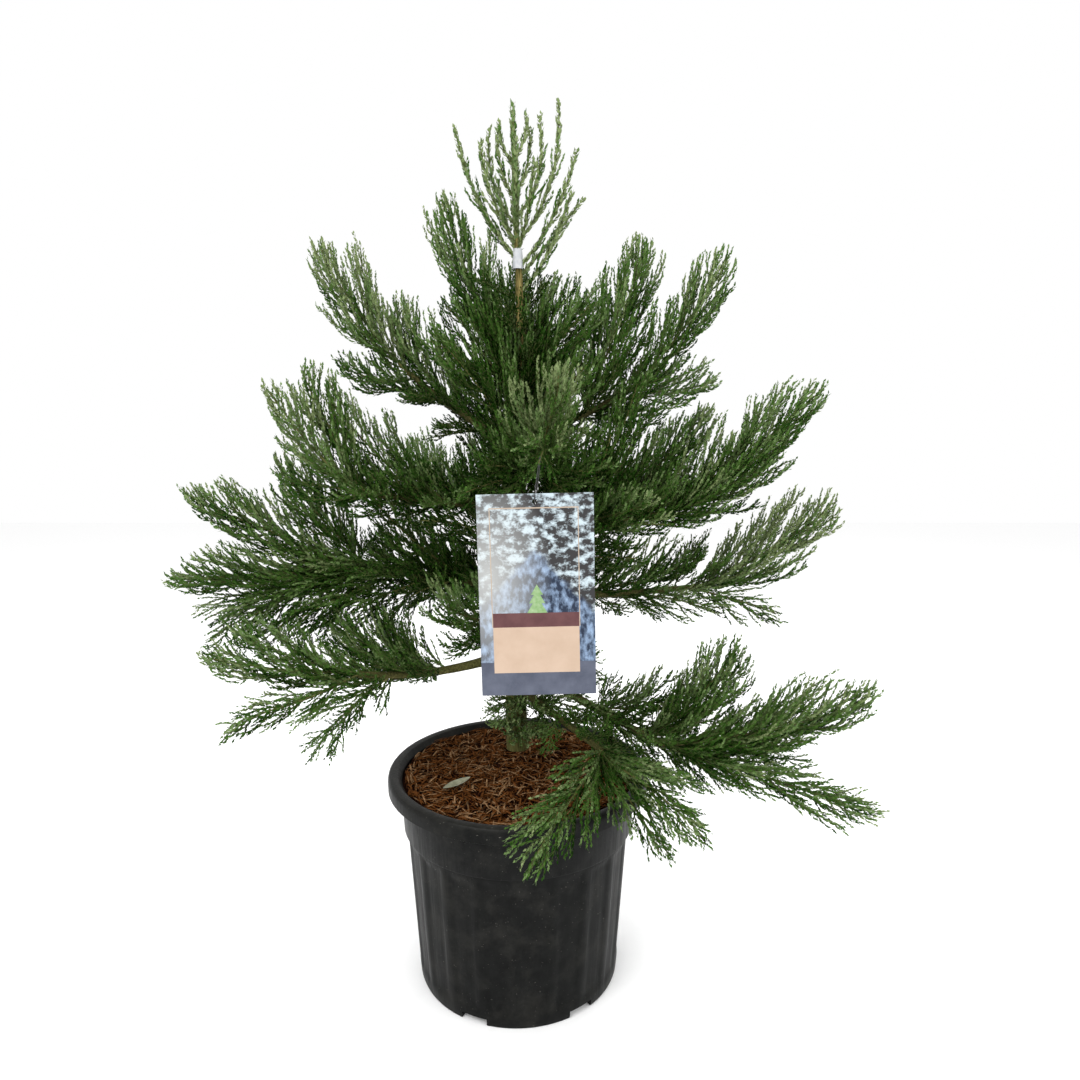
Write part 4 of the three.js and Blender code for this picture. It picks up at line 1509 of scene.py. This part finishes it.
# %% The dry leaf
clear_selection()
bpy.ops.mesh.primitive_grid_add(x_subdivisions=12, y_subdivisions=2, size=1, location=(0, 0, 0))
dry_leaf = named("dry_leaf")
dry_leaf_long = 52 * MM
dry_leaf_wide = 16 * MM
dry_leaf_place = Vector((-0.088, -0.072, 0))
dry_leaf_turn = math.radians(46)
dry_leaf_rest = mound_height(dry_leaf_place.x, dry_leaf_place.y) + 9 * MM
for vertex in dry_leaf.data.vertices:
    share = vertex.co.x
    width = dry_leaf_wide * max(0.0, math.cos(math.pi * share)) ** 0.8
    across = vertex.co.y * width
    x = share * dry_leaf_long
    turned = Vector((x * math.cos(dry_leaf_turn) - across * math.sin(dry_leaf_turn),
                     x * math.sin(dry_leaf_turn) + across * math.cos(dry_leaf_turn), 0))
    place = dry_leaf_place + turned
    crease = abs(across) * 0.5 + 4 * MM * share ** 2 * 4
    vertex.co = (place.x, place.y, dry_leaf_rest + crease)
thicken(dry_leaf, 0.4 * MM, -1)
face_outwards(dry_leaf)
settle(dry_leaf)
dry_leaf_finish = mottled_material("dry_leaf_grey", (0.16, 0.16, 0.10), (0.30, 0.30, 0.21), 130, 0.7)
hand_over(dry_leaf, "bark_mulch", dry_leaf_finish)

# %% [markdown]
# ## The leader's tie
# A soft white sleeve holds the leader. It was rolled on by hand, so it is not round: its wall is
# pulled in and out a little, and it is wider at its lower end.

# %% White tie
tie_low, tie_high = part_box("leader_tie")
tie_run = slices("trunk", Vector((0, 0, tie_low.z)), Vector((0, 0, tie_high.z)), 2)
tie_middle = tie_run[0][0].lerp(tie_run[1][0], 0.5)
tie_height = tie_high.z - tie_low.z
tie_radius = tie_run[0][1] + 2.6 * MM
clear_selection()
bpy.ops.mesh.primitive_cylinder_add(
    vertices=28, radius=tie_radius, depth=1, end_fill_type="NOTHING",
    location=(tie_middle.x, tie_middle.y, tie_low.z + tie_height / 2))
tie = named("leader_sleeve")
tie.scale.z = tie_height * 0.92
settle(tie)
edit_all(tie, "EDGE")
bpy.ops.mesh.subdivide(number_cuts=9)
clear_selection()
for vertex in tie.data.vertices:
    share = (vertex.co.z - tie_low.z) / tie_height
    out = Vector((vertex.co.x - tie_middle.x, vertex.co.y - tie_middle.y, 0))
    crumple = 1 + 0.10 * noise.noise(vertex.co * 260) + 0.14 * (0.5 - share) * 2 * 0.6
    vertex.co.x = tie_middle.x + out.x * crumple
    vertex.co.y = tie_middle.y + out.y * crumple
thicken(tie, 0.8 * MM, -1)
face_outwards(tie)
settle(tie)
smooth_below(tie, 40)
white_sleeve = mottled_material("white_sleeve", (0.33, 0.35, 0.38), (0.45, 0.46, 0.47), 120, 0.42)
hand_over(tie, "tie_plastic", white_sleeve, "leader_tie")
print("sleeve faces", len(tie.data.polygons))

# %% [markdown]
# ## The hang tag
# A printed card hangs in front of the crown on a black loop. Its picture, frame line, band and panel
# are regions of one gridded plate: the grid's lines are set where the print's borders run, and each
# cell takes its material by where its middle lies. The print carries no words.

# %% Lay out the tag's grid
tag_thick = 0.8 * MM
# borders of the print, as shares of the tag's width from its left or of its height from its top
LINE_LEFT, FRAME_LEFT, FRAME_RIGHT, LINE_RIGHT = 0.106, 0.114, 0.862, 0.870
LINE_TOP, FRAME_TOP = 0.066, 0.072
BAND_TOP, PANEL_TOP, STRIP_TOP, PANEL_FOOT = 0.584, 0.655, 0.832, 0.886
across_lines = [0, 0.055, LINE_LEFT, FRAME_LEFT, 0.125, 0.30, 0.5, 0.70, FRAME_RIGHT, LINE_RIGHT, 0.88,
                0.94, 1]
down_lines = [0, 0.03, LINE_TOP, FRAME_TOP, 0.15, 0.25, 0.35, 0.45, 0.52, BAND_TOP, PANEL_TOP, 0.73,
              0.80, STRIP_TOP, PANEL_FOOT, 0.94, 1]
clear_selection()
bpy.ops.mesh.primitive_grid_add(
    x_subdivisions=len(across_lines) - 1, y_subdivisions=len(down_lines) - 1, size=1)
card = named("tag_card")
for vertex in card.data.vertices:
    column = round((vertex.co.x + 0.5) * (len(across_lines) - 1))
    row = round((0.5 - vertex.co.y) * (len(down_lines) - 1))
    vertex.co = ((across_lines[column] - 0.5) * tag_wide, 0, -down_lines[row] * tag_tall)


PICTURE, BAND, PANEL, GOLD_LINE, STRIP = range(5)      # the order of the card's materials


def tag_region(across, down):
    """Which part of the print a place on the card belongs to, as shares of its width and height."""
    framed = FRAME_LEFT < across < FRAME_RIGHT and down > FRAME_TOP
    if framed and BAND_TOP < down < PANEL_TOP:
        return BAND
    if framed and PANEL_TOP < down < PANEL_FOOT:
        return PANEL
    if LINE_LEFT < across < LINE_RIGHT and LINE_TOP < down < PANEL_TOP and not framed:
        return GOLD_LINE
    return STRIP if down > STRIP_TOP else PICTURE


for face in card.data.polygons:
    across = face.center.x / tag_wide + 0.5
    face.material_index = tag_region(across, -face.center.z / tag_tall)
print("tag cells", len(card.data.polygons))

# %% Thickness, hole and hang
thicken(card, tag_thick, 0)
clear_selection()
hole_drop = 9 * MM
bpy.ops.mesh.primitive_cylinder_add(vertices=24, radius=3 * MM, depth=10 * MM,
                                    location=(0, 0, -hole_drop), rotation=(math.pi / 2, 0, 0))
punch = bpy.context.object
settle(punch)
cut_away(card, punch)


def hang(piece):
    """Turn a piece off plumb about the tag's upper edge and put it in its place."""
    turned = Matrix.Rotation(-tag_turn, 4, "Y")
    for vertex in piece.data.vertices:
        vertex.co = turned @ vertex.co + tag_top


def print_material(name, dark, light, specks):
    """A glossy printed colour."""
    return mottled_material(name, dark, light, specks, 0.32, relief=0.02, sheen=0.2)


hang(card)
edit_all(card)
bpy.ops.mesh.normals_make_consistent(inside=False)
clear_selection()
print("card faces", len(card.data.polygons))

# %% [markdown]
# The print's picture looks up an old trunk into its crown. It is drawn with masks only: a wedge that
# widens downwards is bark, everything else is twigs against sky, and a soft round pale glow lies over
# both:
# partly the print's own sun glow and partly painted glare reflected off the glossy card.

# %% The printed picture
def math_node(tree, operation, *values):
    """The output socket of a maths node on sockets and plain numbers."""
    made = node(tree, "ShaderNodeMath", operation=operation)
    for index, value in enumerate(values):
        if isinstance(value, (int, float)):
            made.inputs[index].default_value = value
        else:
            tree.links.new(value, made.inputs[index])
    return made.outputs["Value"]


def speckled(tree, place, stretch, scale, low, high, dark, light):
    """Two colours parted by a sharpened noise that is drawn out along X or Z."""
    spread = node(tree, "ShaderNodeMapping", Vector=place, Scale=stretch)
    grains = node(tree, "ShaderNodeTexNoise", Vector=spread.outputs["Vector"], Scale=scale, Detail=6.0,
                  Roughness=0.65)
    mask = sharpen(tree, grains.outputs["Fac"], low, high)
    return mix_colours(tree, mask, plain_tint(tree, dark), plain_tint(tree, light))


picture, pic, pic_shader = new_material("print_picture", 0.4, 0.2)
pic_from = own_place(pic)
pic_axes = node(pic, "ShaderNodeSeparateXYZ", Vector=pic_from)
pic_bark = speckled(pic, pic_from, (1, 1, 0.6), 120, 0.44, 0.66,
                    (0.014, 0.022, 0.042), (0.23, 0.32, 0.46))
pic_twigs = speckled(pic, pic_from, (0.8, 1, 1.1), 110, 0.46, 0.60,
                     (0.028, 0.027, 0.028), (0.42, 0.50, 0.54))
pic_wobble = node(pic, "ShaderNodeTexNoise", Vector=pic_from, Scale=70.0, Detail=3.0)
pic_aside = math_node(pic, "ABSOLUTE", math_node(pic, "SUBTRACT", pic_axes.outputs["X"], tag_top.x))
pic_aside = math_node(pic, "ADD", pic_aside, math_node(pic, "MULTIPLY", pic_wobble.outputs["Fac"], 0.02))
pic_drop = math_node(pic, "SUBTRACT", tag_top.z - 0.22 * tag_tall, pic_axes.outputs["Z"])
pic_half = math_node(pic, "MULTIPLY", pic_drop, 0.95)
pic_wedge = sharpen(pic, math_node(pic, "SUBTRACT", pic_half, pic_aside), -0.004, 0.006)
pic_base = mix_colours(pic, pic_wedge, pic_twigs, pic_bark)
# a soft round pale patch, partly printed sun glow and partly painted glare off the card's gloss
glow_glare_x = math_node(pic, "SUBTRACT", pic_axes.outputs["X"], tag_top.x - 0.40 * tag_wide)
glow_glare_z = math_node(pic, "SUBTRACT", pic_axes.outputs["Z"], tag_top.z - 0.42 * tag_tall)
glow_glare_z = math_node(pic, "MULTIPLY", glow_glare_z, 0.6)
glow_glare_far = math_node(pic, "SQRT", math_node(pic, "ADD", math_node(pic, "MULTIPLY", glow_glare_x, glow_glare_x),
                                            math_node(pic, "MULTIPLY", glow_glare_z, glow_glare_z)))
pic_glow_and_glare = math_node(pic, "MULTIPLY", sharpen(pic, glow_glare_far, 0.072, 0.0), 0.66)
pic_pale = plain_tint(pic, (0.50, 0.51, 0.50))
dress(pic, pic_shader, Base_Color=mix_colours(pic, pic_glow_and_glare, pic_base, pic_pale))
card_finishes = [
    picture,
    print_material("print_brown_band", (0.075, 0.030, 0.032), (0.105, 0.045, 0.046), 60),
    print_material("print_tan_panel", (0.40, 0.295, 0.218), (0.44, 0.33, 0.25), 40),
    print_material("print_gold_line", (0.33, 0.26, 0.20), (0.38, 0.31, 0.24), 60),
    print_material("print_blue_strip", (0.055, 0.063, 0.090), (0.090, 0.100, 0.135), 50),
]
kept_regions = [face.material_index for face in card.data.polygons]
hand_over(card, "tag_print", card_finishes, "hang_tag")
for face, region in zip(card.data.polygons, kept_regions):
    face.material_index = region

# %% A plain green conifer on the print
clear_selection()
bpy.ops.mesh.primitive_cylinder_add(vertices=3, radius=0.1 * tag_wide, depth=0.3 * MM,
                                    rotation=(math.pi / 2, 0, 0))
emblem = named("tag_conifer")
settle(emblem)
edit_all(emblem)
bpy.ops.mesh.duplicate_move(TRANSFORM_OT_translate={"value": (0, -0.1 * MM, 0.07 * tag_wide)})
bpy.ops.transform.resize(value=(0.8, 1, 0.8))
bpy.ops.mesh.duplicate_move(TRANSFORM_OT_translate={"value": (0, -0.1 * MM, 0.06 * tag_wide)})
bpy.ops.transform.resize(value=(0.75, 1, 0.75))
clear_selection()
emblem_low = min(vertex.co.z for vertex in emblem.data.vertices)
for vertex in emblem.data.vertices:
    vertex.co.z += -BAND_TOP * tag_tall - emblem_low
    vertex.co.y -= tag_thick * 0.75
hang(emblem)
print_green = print_material("print_green", (0.15, 0.27, 0.10), (0.26, 0.36, 0.20), 260)
hand_over(emblem, "tag_print", print_green)

# %% The black loop
hole_place = tag_top + Vector((0, 0, -hole_drop))
hung_from = Vector(tag_twig[-3])
print("loop from", tuple(hole_place), "to", tuple(hung_from))
loop_points = []
for turn in np.linspace(0, 2 * math.pi, 15)[:-1]:
    share = (1 - math.cos(turn)) / 2
    middle = hole_place.lerp(hung_from, share)
    swell = math.sin(turn) * 3.2 * MM
    loop_points.append(middle + Vector((swell * 0.3, swell, (-1.5 + 4 * share) * MM)))
tag_loop = limb_tube("tag_loop", [(place, 0.6 * MM) for place in loop_points], 3, 12, endless=True)
face_outwards(tag_loop)
settle(tag_loop)
black_thread = mottled_material("black_thread", (0.006, 0.006, 0.006), (0.02, 0.02, 0.02), 900, 0.6)
hand_over(tag_loop, "tag_print", black_thread)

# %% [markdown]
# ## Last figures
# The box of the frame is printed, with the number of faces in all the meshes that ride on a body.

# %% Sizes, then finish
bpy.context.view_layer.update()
print("frame box", [round(v, 4) for v in cad_low], [round(v, 4) for v in cad_high])
total_faces = sum(len(o.data.polygons) for o in bpy.data.objects if o.type == "MESH" and "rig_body" in o)
print("faces in all", total_faces)
